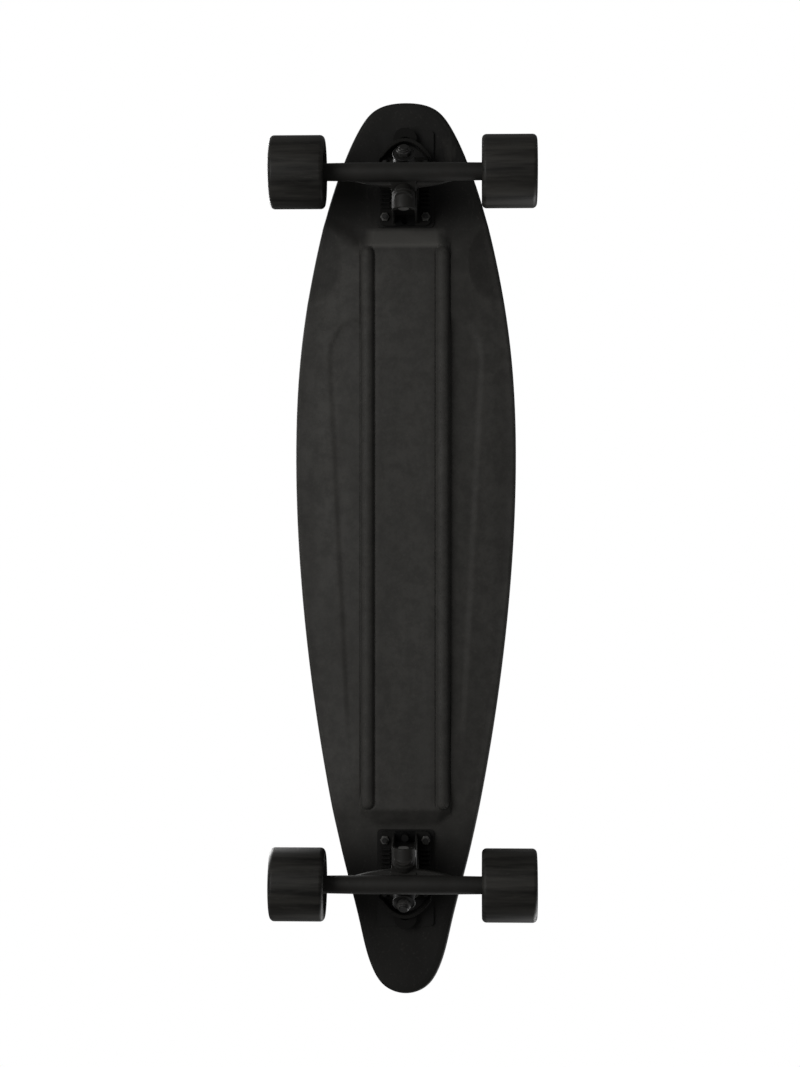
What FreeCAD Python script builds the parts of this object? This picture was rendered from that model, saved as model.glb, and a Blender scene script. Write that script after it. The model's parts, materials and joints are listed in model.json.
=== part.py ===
import FreeCAD, Part
import math
import os

# Pintail electric longboard: a moulded deck with a sealed battery bay, two reverse kingpin
# trucks, two plain wheels in front and two hub motor wheels behind.
#
# Row frame: millimetres, +X towards the nose, +Y to the rider's left, +Z up.
# The origin is on the ground, below the middle of the board.

V = FreeCAD.Vector

# ---- driving dimensions ------------------------------------------------------------------
BOARD_LENGTH = 904.0
WHEEL_RADIUS = 36.0
WHEEL_WIDTH = 54.0
WHEEL_INNER_FACE = 77.0       # from the board's middle plane
FRONT_AXLE_X = 370.0
REAR_AXLE_X = -330.0
TRUCK_HEIGHT = 65.0           # axle to the baseplate's deck face
RISER_THICKNESS = 3.0
DECK_THICKNESS = 12.0         # at the trucks
SPINE_DEPTH = 12.0            # how far the raised spine stands below the truck pads
FLAT_HALF_WIDTH = 50.0        # the flat middle of the standing surface
EDGE_RISE = 7.0               # the rails' rise above the flat middle
WIDEST_HALF = 112.0
GRIP_THICKNESS = 0.9
SKIN_GAP = 0.05               # glue line between the deck and the grip tape

# Half widths of the pintail outline, from the tail's tip to the nose's tip.
OUTLINE = [
    (-452.0, 0.0), (-443.5, 22.6), (-426.5, 33.8), (-381.0, 46.5), (-320.0, 62.0),
    (-240.0, 79.1), (-140.0, 95.2), (-30.0, 107.0), (90.0, WIDEST_HALF), (190.0, 107.8),
    (266.0, 97.1), (330.0, 82.8), (390.0, 63.4), (425.0, 47.2), (443.5, 32.6), (452.0, 0.0),
]

AXLE_Z = WHEEL_RADIUS
PLATE_Z = AXLE_Z + TRUCK_HEIGHT
PAD_Z = PLATE_Z + RISER_THICKNESS
TOP_Z = PAD_Z + DECK_THICKNESS
SPINE_Z = PAD_Z - SPINE_DEPTH

# The battery bay and its lid, open to the top.
BAY_X = (-252.0, 292.0)
BAY_HALF = 30.0
BAY_FLOOR_Z = SPINE_Z + 2.5
LID_THICKNESS = 2.5
LID_X = (-218.0, 302.0)
LID_HALF = 38.0
PANEL_X = (-262.0, -219.0)
REBATE_GAP = 0.3
LID_SEAT_Z = TOP_Z - LID_THICKNESS

# Truck fasteners: the usual 41.3 x 54 mm four-bolt pattern.
BOLT_HALF_SPACING = 20.65
BOLT_INNER_U = -35.6
BOLT_OUTER_U = 18.2
BOLT_RADIUS = 2.4
BOLT_HOLE_RADIUS = 2.7

# Truck geometry in its own frame: u outwards along the board, z up, the mounting face at z = 0.
PIVOT_ANGLE = math.radians(42.0)   # of the steering axis to the deck
RING_CENTRE = V(7.0, 0.0, -36.0)
P = V(-math.cos(PIVOT_ANGLE), 0, -math.sin(PIVOT_ANGLE))   # from the ring to the pivot cup
K = V(math.sin(PIVOT_ANGLE), 0, -math.cos(PIVOT_ANGLE))    # along the kingpin, to the road
KINGPIN_RADIUS = 4.7
RING_HALF = 4.5
RING_RADIUS = 15.8
BUSHING_RADIUS = 12.2
BOARD_BUSHING_HEIGHT = 15.0
ROAD_BUSHING_HEIGHT = 14.0
CUP_WASHER_THICKNESS = 2.0
SEAT_K = -(RING_HALF + BOARD_BUSHING_HEIGHT + CUP_WASHER_THICKNESS)
ROAD_WASHER_K = RING_HALF + ROAD_BUSHING_HEIGHT
KINGPIN_NUT_HEIGHT = 7.6
KINGPIN_NUT_FLATS = 12.7
KINGPIN_END = 1.2             # how far the kingpin stands out of its nut
CUP_WASHER_FLOOR = 1.2
CUP_WASHER_RIM = 1.0
PIVOT_RADIUS = 5.6
PIVOT_BALL_P = 35.7
CUP_P = (32.6, 42.5)
CUP_RADIUS = 6.9
CUP_LIP = 0.6
HOUSING_RADIUS = 8.9
HOUSING_P = (32.6, 45.0)

# Axle, hanger and bearings, measured along Y from the middle plane.
AXLE_RADIUS = 3.97
BAR_RADIUS = 9.3
BAR_END_RADIUS = 8.7
HANGER_HALF = 90.0
MOTOR_NECK_RADIUS = 7.5
MOTOR_NECK_END = 110.0
INNER_BEARING_Y = 91.0
OUTER_BEARING_Y = 108.0
BEARING = {"bore": 4.0, "outer": 11.0, "width": 7.0}           # 608, 8 x 22 x 7 mm
MOTOR_BEARING = {"bore": 7.5, "outer": 12.0, "width": 5.0}     # 6802, 15 x 24 x 5 mm
MOTOR_BEARING_Y = 81.0
MOTOR_OUTER_BEARING_Y = 113.0
WASHER_THICKNESS = 1.0
AXLE_NUT_HEIGHT = 8.5

nodes = {}


def add(name, *shapes):
    """Files solids under a node's name."""
    for shape in shapes:
        nodes.setdefault(name, []).extend(shape.Solids)


def box(x, y, z):
    """A block between (low, high) pairs."""
    return Part.makeBox(x[1] - x[0], y[1] - y[0], z[1] - z[0], V(x[0], y[0], z[0]))


def rod(radius, start, end):
    return Part.makeCylinder(radius, (end - start).Length, start, end - start)


def tube(outer, inner, start, end):
    return rod(outer, start, end).cut(rod(inner, start, end))


def prism(points, direction):
    """A solid from a closed polygon of points and an extrusion vector."""
    return Part.Face(Part.makePolygon(points + [points[0]])).extrude(direction)


def hexagon(across_flats, start, end):
    """A hexagonal bar from start to end."""
    axis = (end - start).normalize()
    side = axis.cross(V(0, 1, 0)) if abs(axis.y) < 0.9 else axis.cross(V(1, 0, 0))
    side = side.normalize()
    other = axis.cross(side)
    radius = across_flats / math.sqrt(3)
    corners = []
    for i in range(6):
        angle = math.radians(60 * i + 30)
        corners.append(start + side * (radius * math.cos(angle)) + other * (radius * math.sin(angle)))
    return prism(corners, end - start)


def spin(profile, centre=V(0, 0, 0)):
    """A solid of revolution about Y from (radius, y) points."""
    points = [centre + V(r, y, 0) for r, y in profile]
    face = Part.Face(Part.makePolygon(points + [points[0]]))
    return face.revolve(centre, V(0, 1, 0), 360)


def fuse(*shapes):
    return shapes[0].multiFuse(list(shapes[1:])).removeSplitter()


# ---- deck --------------------------------------------------------------------------------
def outline_face(inset=0.0):
    """The board's plan: one smooth closed curve through the outline stations."""
    scale = (BOARD_LENGTH / 2 - inset) / (BOARD_LENGTH / 2)
    left = [V(x * scale, max(0.0, w - inset) if w else 0.0, 0) for x, w in OUTLINE]
    right = [V(p.x, -p.y, 0) for p in left[-2:0:-1]]
    curve = Part.BSplineCurve()
    curve.interpolate(Points=left + right, PeriodicFlag=True)
    return Part.Face(Part.Wire(curve.toShape()))


def section_slab(below, above):
    """The concave cross-section between two offsets from the standing surface, along the board."""
    radius = ((WIDEST_HALF - FLAT_HALF_WIDTH) ** 2 + EDGE_RISE ** 2) / (2 * EDGE_RISE)
    reach = math.radians(15)
    x = -BOARD_LENGTH / 2 - 10

    def side(offset, sign):
        r = radius - offset
        centre = V(x, sign * FLAT_HALF_WIDTH, TOP_Z + radius)
        return [centre + V(0, sign * r * math.sin(a), -r * math.cos(a)) for a in (0, reach / 2, reach)]

    low_left, low_right = side(below, 1), side(below, -1)
    high_left, high_right = side(above, 1), side(above, -1)
    edges = [
        Part.LineSegment(low_right[0], low_left[0]),
        Part.Arc(*low_left),
        Part.LineSegment(low_left[2], high_left[2]),
        Part.Arc(*high_left[::-1]),
        Part.LineSegment(high_left[0], high_right[0]),
        Part.Arc(*high_right),
        Part.LineSegment(high_right[2], low_right[2]),
        Part.Arc(*low_right[::-1]),
    ]
    wire = Part.Wire([e.toShape() for e in edges])
    return Part.Face(wire).extrude(V(BOARD_LENGTH + 20, 0, 0))


def frustum(low, low_z, high, high_z):
    """A body between two polygons of matching corners, at two heights."""
    wires = []
    for points, z in ((low, low_z), (high, high_z)):
        corners = [V(x, y, z) for x, y in points]
        wires.append(Part.makePolygon(corners + [corners[0]]))
    return Part.makeLoft(wires, True, True)


def mirrored(points):
    """A closed polygon from its points on the +Y side, nose first."""
    return points + [(x, -y) for x, y in reversed(points)]


SPINE_NOSE_X = 306.0
SPINE_TAIL_X = -264.0
RIB_Y = 37.9
RIB_RADIUS = 6.4
RIB_X = (-257.0, 298.0)
WELL_RADIUS = 300.0
WELL_CENTRE = (292.0, 185.0, -174.5)   # of the ball that scallops the +Y side
WELL_NEAR_Y = 51.0


def make_deck_body():
    """The plate, the side hull and the raised spine with its ramps, before any cut."""
    plan = outline_face()
    plan.translate(V(0, 0, SPINE_Z - 20))
    plan = plan.extrude(V(0, 0, 60))
    plate = section_slab(-DECK_THICKNESS + 1.0, 0.0)
    reach = BOARD_LENGTH / 2 + 7
    pad = box((-reach, reach), (-FLAT_HALF_WIDTH, FLAT_HALF_WIDTH), (PAD_Z, TOP_Z))
    nose, tail = SPINE_NOSE_X, SPINE_TAIL_X
    spine = frustum(
        mirrored([(nose, 38), (nose - 7, 43), (tail + 7, 43), (tail, 38)]), SPINE_Z,
        mirrored([(nose + 18, 27), (nose + 2, 47), (tail - 2, 47), (tail - 20, 27)]), PAD_Z + 1.2)
    hull = frustum(
        mirrored([(nose - 6, 47), (tail + 22, 47)]), SPINE_Z + 3,
        mirrored([(nose + 17, 104), (tail - 22, 104)]), PAD_Z + 6)
    return plate.common(plan).fuse([pad.common(plan), hull.common(plan), spine]).removeSplitter()


def rib(sign):
    """One stiffening ridge along the spine, with rounded ends."""
    y, z = sign * RIB_Y, SPINE_Z + 1.4
    start, end = V(RIB_X[0], y, z), V(RIB_X[1], y, z)
    shape = rod(RIB_RADIUS, start, end)
    return shape.fuse([Part.makeSphere(RIB_RADIUS, start), Part.makeSphere(RIB_RADIUS, end)])


def bolt_places():
    """Every truck bolt's x and y."""
    places = []
    for axle_x, way in ((FRONT_AXLE_X, 1), (REAR_AXLE_X, -1)):
        for u in (BOLT_INNER_U, BOLT_OUTER_U):
            for side in (-1, 1):
                places.append((axle_x + way * u, side * BOLT_HALF_SPACING))
    return places


LID_SCREW_Y = 34.8
LID_SCREW_X = [-205.0, -120.0, -35.0, 50.0, 135.0, 220.0, 290.0]
PANEL_SCREW_X = [-254.0, -227.0]
SCREW_RADIUS = 1.5
SCREW_LENGTH = 8.0
SCREW_HEAD = 2.8
SEAL_OUT, SEAL_IN = 1.9, 0.9
WIRE_X = -291.0
WIRE_Z = TOP_Z - 7.2
WIRE_HOLE_RADIUS = 3.3


def screw_places():
    return [(x, side * LID_SCREW_Y) for x in LID_SCREW_X + PANEL_SCREW_X for side in (-1, 1)]


def countersunk(x, y, top, radius, head, length):
    """A countersunk screw's solid, head flush at top."""
    cone = Part.makeCone(radius, head, head - radius, V(x, y, top - head + radius))
    return cone.fuse(rod(radius, V(x, y, top - length), V(x, y, top - head + radius))).removeSplitter()


def seal_frame(spread, z):
    """The gasket's frame round the bay; spread widens it for the groove."""
    outer = box((BAY_X[0] - SEAL_OUT - spread, BAY_X[1] + SEAL_OUT + spread),
                (-BAY_HALF - SEAL_OUT - spread, BAY_HALF + SEAL_OUT + spread), z)
    inner = box((BAY_X[0] - SEAL_IN + spread, BAY_X[1] + SEAL_IN - spread),
                (-BAY_HALF - SEAL_IN + spread, BAY_HALF + SEAL_IN - spread), z)
    return outer.cut(inner)


def make_deck():
    body = make_deck_body().fuse([rib(1), rib(-1)])
    cutters = [
        box(BAY_X, (-BAY_HALF, BAY_HALF), (BAY_FLOOR_Z, TOP_Z + 5)),
        box((PANEL_X[0] - REBATE_GAP, LID_X[1] + REBATE_GAP),
            (-LID_HALF - REBATE_GAP, LID_HALF + REBATE_GAP), (LID_SEAT_Z, TOP_Z + 5)),
        seal_frame(0.2, (LID_SEAT_Z - 0.8, LID_SEAT_Z + 1)),
        rod(WIRE_HOLE_RADIUS, V(BAY_X[0] + 2, 0, WIRE_Z), V(WIRE_X, 0, WIRE_Z)),
        Part.makeSphere(WIRE_HOLE_RADIUS, V(WIRE_X, 0, WIRE_Z)),
        rod(WIRE_HOLE_RADIUS, V(WIRE_X, 0, WIRE_Z), V(WIRE_X, 0, PAD_Z - 5)),
    ]
    for x, y in bolt_places():
        cutters.append(rod(BOLT_HOLE_RADIUS, V(x, y, PAD_Z - 5), V(x, y, TOP_Z + 5)))
        cutters.append(Part.makeCone(BOLT_HOLE_RADIUS, 5.0, 2.6, V(x, y, TOP_Z - 2.6)))
    for x, y in screw_places():
        cutters.append(rod(SCREW_RADIUS + 0.05, V(x, y, TOP_Z - SCREW_LENGTH - 0.5), V(x, y, TOP_Z)))
    x, y, z = WELL_CENTRE
    for side in (-1, 1):
        span = sorted((side * WELL_NEAR_Y, side * WIDEST_HALF))
        reach = box((x - 60, x + 60), span, (SPINE_Z, TOP_Z))
        cutters.append(Part.makeSphere(WELL_RADIUS, V(x, side * y, z)).common(reach))
    add("deck", body.cut(cutters).removeSplitter())


def rounded_plate(x, half, z, corner):
    plate = box(x, (-half, half), z)
    upright = [e for e in plate.Edges if abs(e.tangentAt(e.FirstParameter).z) > 0.9]
    return plate.makeFillet(corner, upright)


def make_covers():
    """The bay's lid, its seal, the screws and the two pieces of grip tape."""
    lid = box(LID_X, (-LID_HALF, LID_HALF), (LID_SEAT_Z, TOP_Z - 0.3))
    holes = [countersunk(x, y, TOP_Z - 0.3, SCREW_RADIUS + 0.1, SCREW_HEAD + 0.15, 9)
             for x, y in screw_places() if x > LID_X[0]]
    add("bay_lid", lid.cut(holes))
    add("bay_seal", seal_frame(0.0, (LID_SEAT_Z - 0.7, LID_SEAT_Z - 0.02)))
    for x, y in screw_places():
        add("lid_screws", countersunk(x, y, TOP_Z - 0.4, SCREW_RADIUS, SCREW_HEAD, SCREW_LENGTH - 0.4))

    sheet = outline_face(1.6)
    sheet.translate(V(0, 0, TOP_Z - 10))
    sheet = sheet.extrude(V(0, 0, 30)).common(section_slab(SKIN_GAP, SKIN_GAP + GRIP_THICKNESS))
    openings = [rounded_plate((PANEL_X[0] - 1, LID_X[1] + 1), LID_HALF + 1, (TOP_Z - 5, TOP_Z + 5), 4)]
    openings += [rod(5.3, V(x, y, TOP_Z - 5), V(x, y, TOP_Z + 5)) for x, y in bolt_places()]
    add("grip_tape", sheet.cut(openings))
    patch = rounded_plate((LID_X[0] + 0.6, LID_X[1] - 0.6), LID_HALF - 0.6, (TOP_Z - 0.25, TOP_Z + 0.65), 3)
    holes = [rod(3.2, V(x, y, TOP_Z - 5), V(x, y, TOP_Z + 5)) for x, y in screw_places()]
    add("grip_tape", patch.cut(holes))


# ---- battery, electronics and controls ---------------------------------------------------
CELL_RADIUS = 9.2
CELL_LENGTH = 65.0
CELL_PITCH_X = 66.5
CELL_PITCH_Y = 18.7
CELL_ROWS = 6
CELL_COLUMNS = 3
CELL_Z = BAY_FLOOR_Z + CELL_RADIUS + 0.2
PACK_NOSE_X = 290.0
PACK_TAIL_X = PACK_NOSE_X - CELL_ROWS * CELL_PITCH_X


def make_battery():
    """Six groups in series of three cells side by side, in a plastic cradle."""
    for row in range(CELL_ROWS):
        x = PACK_NOSE_X - row * CELL_PITCH_X - 0.8
        for column in range(CELL_COLUMNS):
            y = (column - 1) * CELL_PITCH_Y
            can = rod(CELL_RADIUS, V(x - CELL_LENGTH, y, CELL_Z), V(x - 1.0, y, CELL_Z))
            tip = rod(3.2, V(x - 1.0, y, CELL_Z), V(x, y, CELL_Z))
            add("battery_cells", can.fuse(tip))
    for row in range(CELL_ROWS + 1):
        x = PACK_NOSE_X - row * CELL_PITCH_X
        add("cell_links", box((x - 0.7, x - 0.2), (-26, 26), (CELL_Z - 3.5, CELL_Z + 3.5)))
    cradle = box((PACK_TAIL_X - 1.8, PACK_NOSE_X + 1.2), (-29.6, 29.6), (BAY_FLOOR_Z + 0.1, CELL_Z + 1))
    cradle = cradle.cut(box((PACK_TAIL_X - 0.8, PACK_NOSE_X - 0.05), (-28.2, 28.2), (BAY_FLOOR_Z, TOP_Z)))
    add("battery_cradle", cradle)


BMS_X = (-158.0, -114.0)
CONTROLLER_X = (-214.0, -162.0)
BOARD_HALF = 27.0


def make_electronics():
    """Battery manager, motor controller on its heat spreader, radio board and the leads."""
    z = BAY_FLOOR_Z
    pillars = [box((x, x + 4), (y, y + 4), (z + 0.05, z + 3)) for x in (BMS_X[0], BMS_X[1] - 4)
               for y in (-BOARD_HALF, BOARD_HALF - 4)]
    chips = [box((BMS_X[0] + 8 + 9 * i, BMS_X[0] + 14 + 9 * i), (-20, -10), (z + 4.6, z + 6.9))
             for i in range(4)]
    board = box(BMS_X, (-BOARD_HALF, BOARD_HALF), (z + 3, z + 4.6))
    add("battery_manager", fuse(board, *pillars, *chips))

    add("heat_spreader", box(CONTROLLER_X, (-BOARD_HALF, BOARD_HALF), (z + 0.05, z + 2.5)))
    board = box(CONTROLLER_X, (-BOARD_HALF, BOARD_HALF), (z + 5.5, z + 7.1))
    switches = [box((CONTROLLER_X[0] + 6 + 11 * i, CONTROLLER_X[0] + 14 + 11 * i), (side - 5, side + 5),
                    (z + 2.5, z + 5.5)) for i in range(4) for side in (-16, 16)]
    add("motor_controller", fuse(board, *switches))
    for y in (-11.0, 0.0, 11.0):
        start = V(CONTROLLER_X[0] + 8, y, z + 11.2)
        add("motor_controller", rod(4.0, start, start + V(20, 0, 0)))

    radio = box((-243.0, -221.0), (-8, 8), (z + 0.1, z + 1.3))
    shield = box((-240.0, -228.0), (-5, 5), (z + 1.3, z + 3.4))
    add("radio_board", fuse(radio, shield))

    for side in (-1, 1):
        y = side * 23.0
        start, end = PACK_TAIL_X - 2.0, CONTROLLER_X[1] - 6
        high, low, bend = z + 12.5, z + 7.15, 4.0
        add("power_leads", lead([V(start, y, high), V(end, y, high), V(end, y, low)], bend, 1.7))
    points = [V(CONTROLLER_X[0] - 1, 0, WIRE_Z), V(WIRE_X, 0, WIRE_Z), V(WIRE_X, 0, PLATE_Z - 5.0)]
    add("power_leads", lead(points, 4.5, 2.6))
    mouth, end = V(WIRE_X, 0, PLATE_Z - 5.0), V(WIRE_X, 0, PLATE_Z - 17.0)
    socket = tube(GLAND_RADIUS, 2.7, mouth, end).fuse(rod(GLAND_RADIUS, end, end - V(0, 0, 1.5)))
    add("motor_lead_gland", socket.removeSplitter())


def lead(points, bend, radius):
    """A wire along three points, with one round bend at the middle one."""
    a, b, c = points
    before = b + (a - b).normalize() * bend
    after = b + (c - b).normalize() * bend
    centre = before + (c - b).normalize() * bend
    middle = centre + (b - centre).normalize() * bend
    path = Part.Wire([Part.LineSegment(a, before).toShape(), Part.Arc(before, middle, after).toShape(),
                      Part.LineSegment(after, c).toShape()])
    circle = Part.Wire(Part.Circle(a, b - a, radius).toShape())
    return path.makePipeShell([circle], True, False)


CONTROL_X = -240.0
BUTTON_Y = 20.0
SOCKET_Y = -20.0
BUTTON_RADIUS = 7.0
SOCKET_RADIUS = 5.5
CAP_HINGE = V(-249.5, SOCKET_Y, TOP_Z + 1.75)


def make_controls():
    """The control panel: power button, charge gauge, charge socket and its hinged cap."""
    top = TOP_Z - 0.1
    panel = rounded_plate(PANEL_X, LID_HALF, (LID_SEAT_Z, top), 1.5)
    holes = [countersunk(x, y, TOP_Z - 0.3, SCREW_RADIUS + 0.1, SCREW_HEAD + 0.15, 9)
             for x, y in screw_places() if x < LID_X[0]]
    holes += [rod(SCREW_HEAD + 0.15, V(x, y, TOP_Z - 0.3), V(x, y, TOP_Z))
              for x, y in screw_places() if x < LID_X[0]]
    holes.append(rod(BUTTON_RADIUS + 0.15, V(CONTROL_X, BUTTON_Y, 100), V(CONTROL_X, BUTTON_Y, 130)))
    holes.append(rod(SOCKET_RADIUS + 0.05, V(CONTROL_X, SOCKET_Y, 100), V(CONTROL_X, SOCKET_Y, 130)))
    holes.append(box((CONTROL_X - 2.05, CONTROL_X + 2.05), (-9.05, 9.05), (100, 130)))
    panel = panel.cut(holes)
    lugs = []
    for side in (-1, 1):
        y = SOCKET_Y + side * 6.2
        lug = box((CAP_HINGE.x - 1.6, CAP_HINGE.x + 1.6), (y - 1.0, y + 1.0), (top, CAP_HINGE.z + 1.5))
        lugs.append(lug)
    pin_hole = rod(0.82, CAP_HINGE - V(0, 9, 0), CAP_HINGE + V(0, 9, 0))
    add("control_panel", fuse(panel, *lugs).cut(pin_hole))
    add("cap_pin", rod(0.8, CAP_HINGE - V(0, 7.2, 0), CAP_HINGE + V(0, 7.2, 0)))
    add("gauge_window", box((CONTROL_X - 2, CONTROL_X + 2), (-9, 9), (top - 2.3, top + 0.05)))

    button = rod(BUTTON_RADIUS, V(CONTROL_X, BUTTON_Y, TOP_Z - 4), V(CONTROL_X, BUTTON_Y, TOP_Z + 1.2))
    rim = [e for e in button.Edges if abs(e.BoundBox.ZMin - TOP_Z - 1.2) < 0.01 and e.BoundBox.ZLength < 0.01]
    button = button.makeFillet(0.6, rim)
    button = button.cut(Part.makeSphere(40.0, V(CONTROL_X, BUTTON_Y, TOP_Z + 1.2 + 39.55)))
    add("power_button", button)
    low, high = V(CONTROL_X, BUTTON_Y, TOP_Z - 14), V(CONTROL_X, BUTTON_Y, TOP_Z - 5.2)
    add("power_switch", tube(7.6, 2.5, low, high))

    x, y = CONTROL_X, SOCKET_Y
    barrel = rod(SOCKET_RADIUS, V(x, y, TOP_Z - 13), V(x, y, top))
    barrel = barrel.cut(rod(3.1, V(x, y, TOP_Z - 11), V(x, y, TOP_Z)))
    pin = rod(1.25, V(x, y, TOP_Z - 11), V(x, y, TOP_Z - 1.6))
    add("charge_socket", barrel.fuse(pin).removeSplitter())

    disc = rod(7.4, V(x, y, top + 0.2), V(x, y, top + 1.7))
    plug = rod(2.9, V(x, y, TOP_Z - 1.3), V(x, y, top + 0.3))
    arm = box((CAP_HINGE.x, x), (y - 3.5, y + 3.5), (top + 0.4, top + 1.7))
    knuckle = rod(1.45, CAP_HINGE - V(0, 4.9, 0), CAP_HINGE + V(0, 4.9, 0))
    bore = rod(0.88, CAP_HINGE - V(0, 9, 0), CAP_HINGE + V(0, 9, 0))
    add("charge_cap", fuse(disc, plug, arm, knuckle).cut(bore))


# ---- trucks ------------------------------------------------------------------------------
def at(p, k):
    """A point on the truck's middle plane from its distances along the pivot axis and the kingpin."""
    return RING_CENTRE + P * p + K * k


def place(shape, axle_x, way):
    """Moves a shape from the truck's own frame to the front or, turned round, to the rear."""
    copy = shape.copy()
    if way < 0:
        copy.rotate(V(0, 0, 0), V(0, 0, 1), 180)
    copy.translate(V(axle_x, 0, PLATE_Z))
    return copy


def slab(points, half):
    """A truck piece from a polygon on the middle plane, extruded both ways along Y."""
    corners = [V(p.x, -half, p.z) for p in points]
    return prism(corners, V(0, 2 * half, 0))


PLATE_THICKNESS = 6.0
PLATE_HALF = 25.7
PLATE_INNER_U = -44.4
ARCH_APEX = 39.0
ARCH_SPREAD = 33.0            # half width squared over distance from the apex
ARCH_FOOT = 23.2
ARCH_START_U = 14.0
ARCH_WALL = 3.6
ARCH_DEPTH = 15.0
BOSS_U = 42.3
BOSS_HOLE_U = 37.3
TOWER_HALF = 12.4
TOWER_WALL = 2.0
HOOD_HALF = 11.2
HOOD_MOUTH_HALF = 8.0
HOOD_END_U = -34.6
HOOD_Z = -59.2
PLUG = (V(-24.0, 0, -60.4), V(-36.0, 0, -62.5))   # the pivot cup's back, seen in the hood's mouth
PLUG_RADIUS = 5.2
GLAND_U = REAR_AXLE_X - WIRE_X
GLAND_RADIUS = 3.6


def arch_plan(offset, z, height):
    """The baseplate's outer end: a parabola closed by a straight line, moved out by an offset."""
    points = []
    for share in (-1.0, -0.75, -0.4, 0.0, 0.4, 0.75, 1.0):
        half = ARCH_FOOT * share
        lean = 2 * half / ARCH_SPREAD
        reach = offset / math.sqrt(1 + lean * lean)
        points.append(V(ARCH_APEX - half * half / ARCH_SPREAD + reach, half + lean * reach, z))
    curve = Part.BSplineCurve()
    curve.interpolate(Points=points)
    foot = V(ARCH_START_U, points[0].y, z)
    other = V(ARCH_START_U, points[-1].y, z)
    edges = [curve.toShape(), Part.LineSegment(points[-1], other).toShape(),
             Part.LineSegment(other, foot).toShape(), Part.LineSegment(foot, points[0]).toShape()]
    return Part.Face(Part.Wire(edges)).extrude(V(0, 0, height))


def make_tower():
    """The pivot tower: two cheeks, a neck, the pivot cup's housing and a round-backed hood over it,
    hollow towards the board's middle."""
    cheeks = slab([at(HOUSING_P[1], -11), at(17, -11), at(15, SEAT_K), V(-17, 0, -3), V(-43, 0, -3)],
                  TOWER_HALF)
    neck = slab([at(HOUSING_P[0], -12), at(HOUSING_P[1], -12), at(HOUSING_P[1], 0), at(HOUSING_P[0], 0)],
                HOUSING_RADIUS)
    housing = rod(HOUSING_RADIUS, at(HOUSING_P[0], 0), at(HOUSING_P[1], 0))
    side = slab([V(-13.5, 0, -80), V(HOOD_END_U, 0, -80), V(-40.5, 0, -3), V(-24, 0, -3), at(33, -12),
                 at(35, -2)], 20)
    hood = arched_bar(HOOD_HALF).common(side)
    beyond = slab([at(HOUSING_P[1] + 0.1, -70), at(120, -70), at(120, 60), at(HOUSING_P[1] + 0.1, 60)], 20)
    mouth = arched_bar(HOOD_MOUTH_HALF).common(beyond)
    under = -12 - TOWER_WALL
    below = slab([at(47, under), at(27, under), V(-34, 0, -7), V(-60, 0, -7), at(70, under)],
                 TOWER_HALF - TOWER_WALL)
    return fuse(cheeks, neck, housing, hood), fuse(mouth, below)


def arched_bar(half):
    """A bar along U from the plate's face downwards, with a round back of the given half width."""
    back = rod(half, V(-70, 0, HOOD_Z), V(0, 0, HOOD_Z))
    return back.fuse(box((-70, 0), (-half, half), (HOOD_Z, -PLATE_THICKNESS)))


def make_baseplate():
    """The plate, its arched outer wall, the nose boss, the kingpin seat and the pivot tower."""
    plate = box((PLATE_INNER_U, 21), (-PLATE_HALF, PLATE_HALF), (-PLATE_THICKNESS, 0))
    upright = [e for e in plate.Edges if abs(e.tangentAt(e.FirstParameter).z) > 0.9 and e.BoundBox.XMax < 0]
    plate = plate.makeFillet(6.0, upright)
    arch = arch_plan(ARCH_WALL, 0, -ARCH_DEPTH)
    pocket = arch_plan(0, -5, -20).common(box((20, 60), (-22.5, 22.5), (-30, 10)))
    pocket = pocket.fuse(arch_plan(-1.0, 5, -20).common(box((25, 60), (-21, 21), (-30, 10))))
    hole = rod(7.4, V(BOSS_HOLE_U, 0, -4), V(BOSS_HOLE_U, 0, -12))
    boss = rod(12.0, V(BOSS_U, 0, 0), V(BOSS_U, 0, -9)).cut(hole)
    seat = rod(14.0, at(0, SEAT_K), at(0, SEAT_K - 30))
    tower, hollow = make_tower()
    cheeks = []
    for side in (-1, 1):
        for i in range(5):
            x = -27.0 + 4.4 * i
            span = sorted((side * 15.0, side * 24.3))
            cheeks.append(box((x, x + 1.9), span, (-10, -5)))
    body = fuse(plate, arch, boss, seat, tower, *cheeks)
    cutters = [
        box((-80, 80), (-60, 60), (0, 60)), pocket, hollow,
        rod(KINGPIN_RADIUS + 0.15, at(0, SEAT_K + 5), at(0, -60)),
        rod(8.8, at(0, -30.0), at(0, -60)),
        rod(CUP_RADIUS + 0.03, at(HOUSING_P[0] - 3, 0), at(CUP_P[1] + 0.05, 0)),
        rod(PLUG_RADIUS + 0.3, *PLUG),
        rod(GLAND_RADIUS + 0.2, V(GLAND_U, 0, 5), V(GLAND_U, 0, -30)),
    ]
    for u in (BOLT_INNER_U, BOLT_OUTER_U):
        for side in (-1, 1):
            y = side * BOLT_HALF_SPACING
            cutters.append(rod(BOLT_HOLE_RADIUS, V(u, y, 5), V(u, y, -8)))
            cutters.append(rod(5.6, V(u, y, -PLATE_THICKNESS), V(u, y, -20)))
    return body.cut(cutters).removeSplitter()


def make_pivot_cup():
    """A urethane cup with a lip outside its housing and a plug that shows in the hood's mouth."""
    cup = rod(CUP_RADIUS, at(CUP_P[0], 0), at(CUP_P[1], 0))
    lip = rod(CUP_RADIUS + 1.0, at(CUP_P[0] - CUP_LIP, 0), at(CUP_P[0], 0))
    plug = rod(PLUG_RADIUS, *PLUG)
    ball_room = rod(PIVOT_RADIUS + 0.2, at(0, 0), at(CUP_P[1] - 1.0, 0))
    return fuse(cup, lip, plug).cut(ball_room).removeSplitter()


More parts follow.
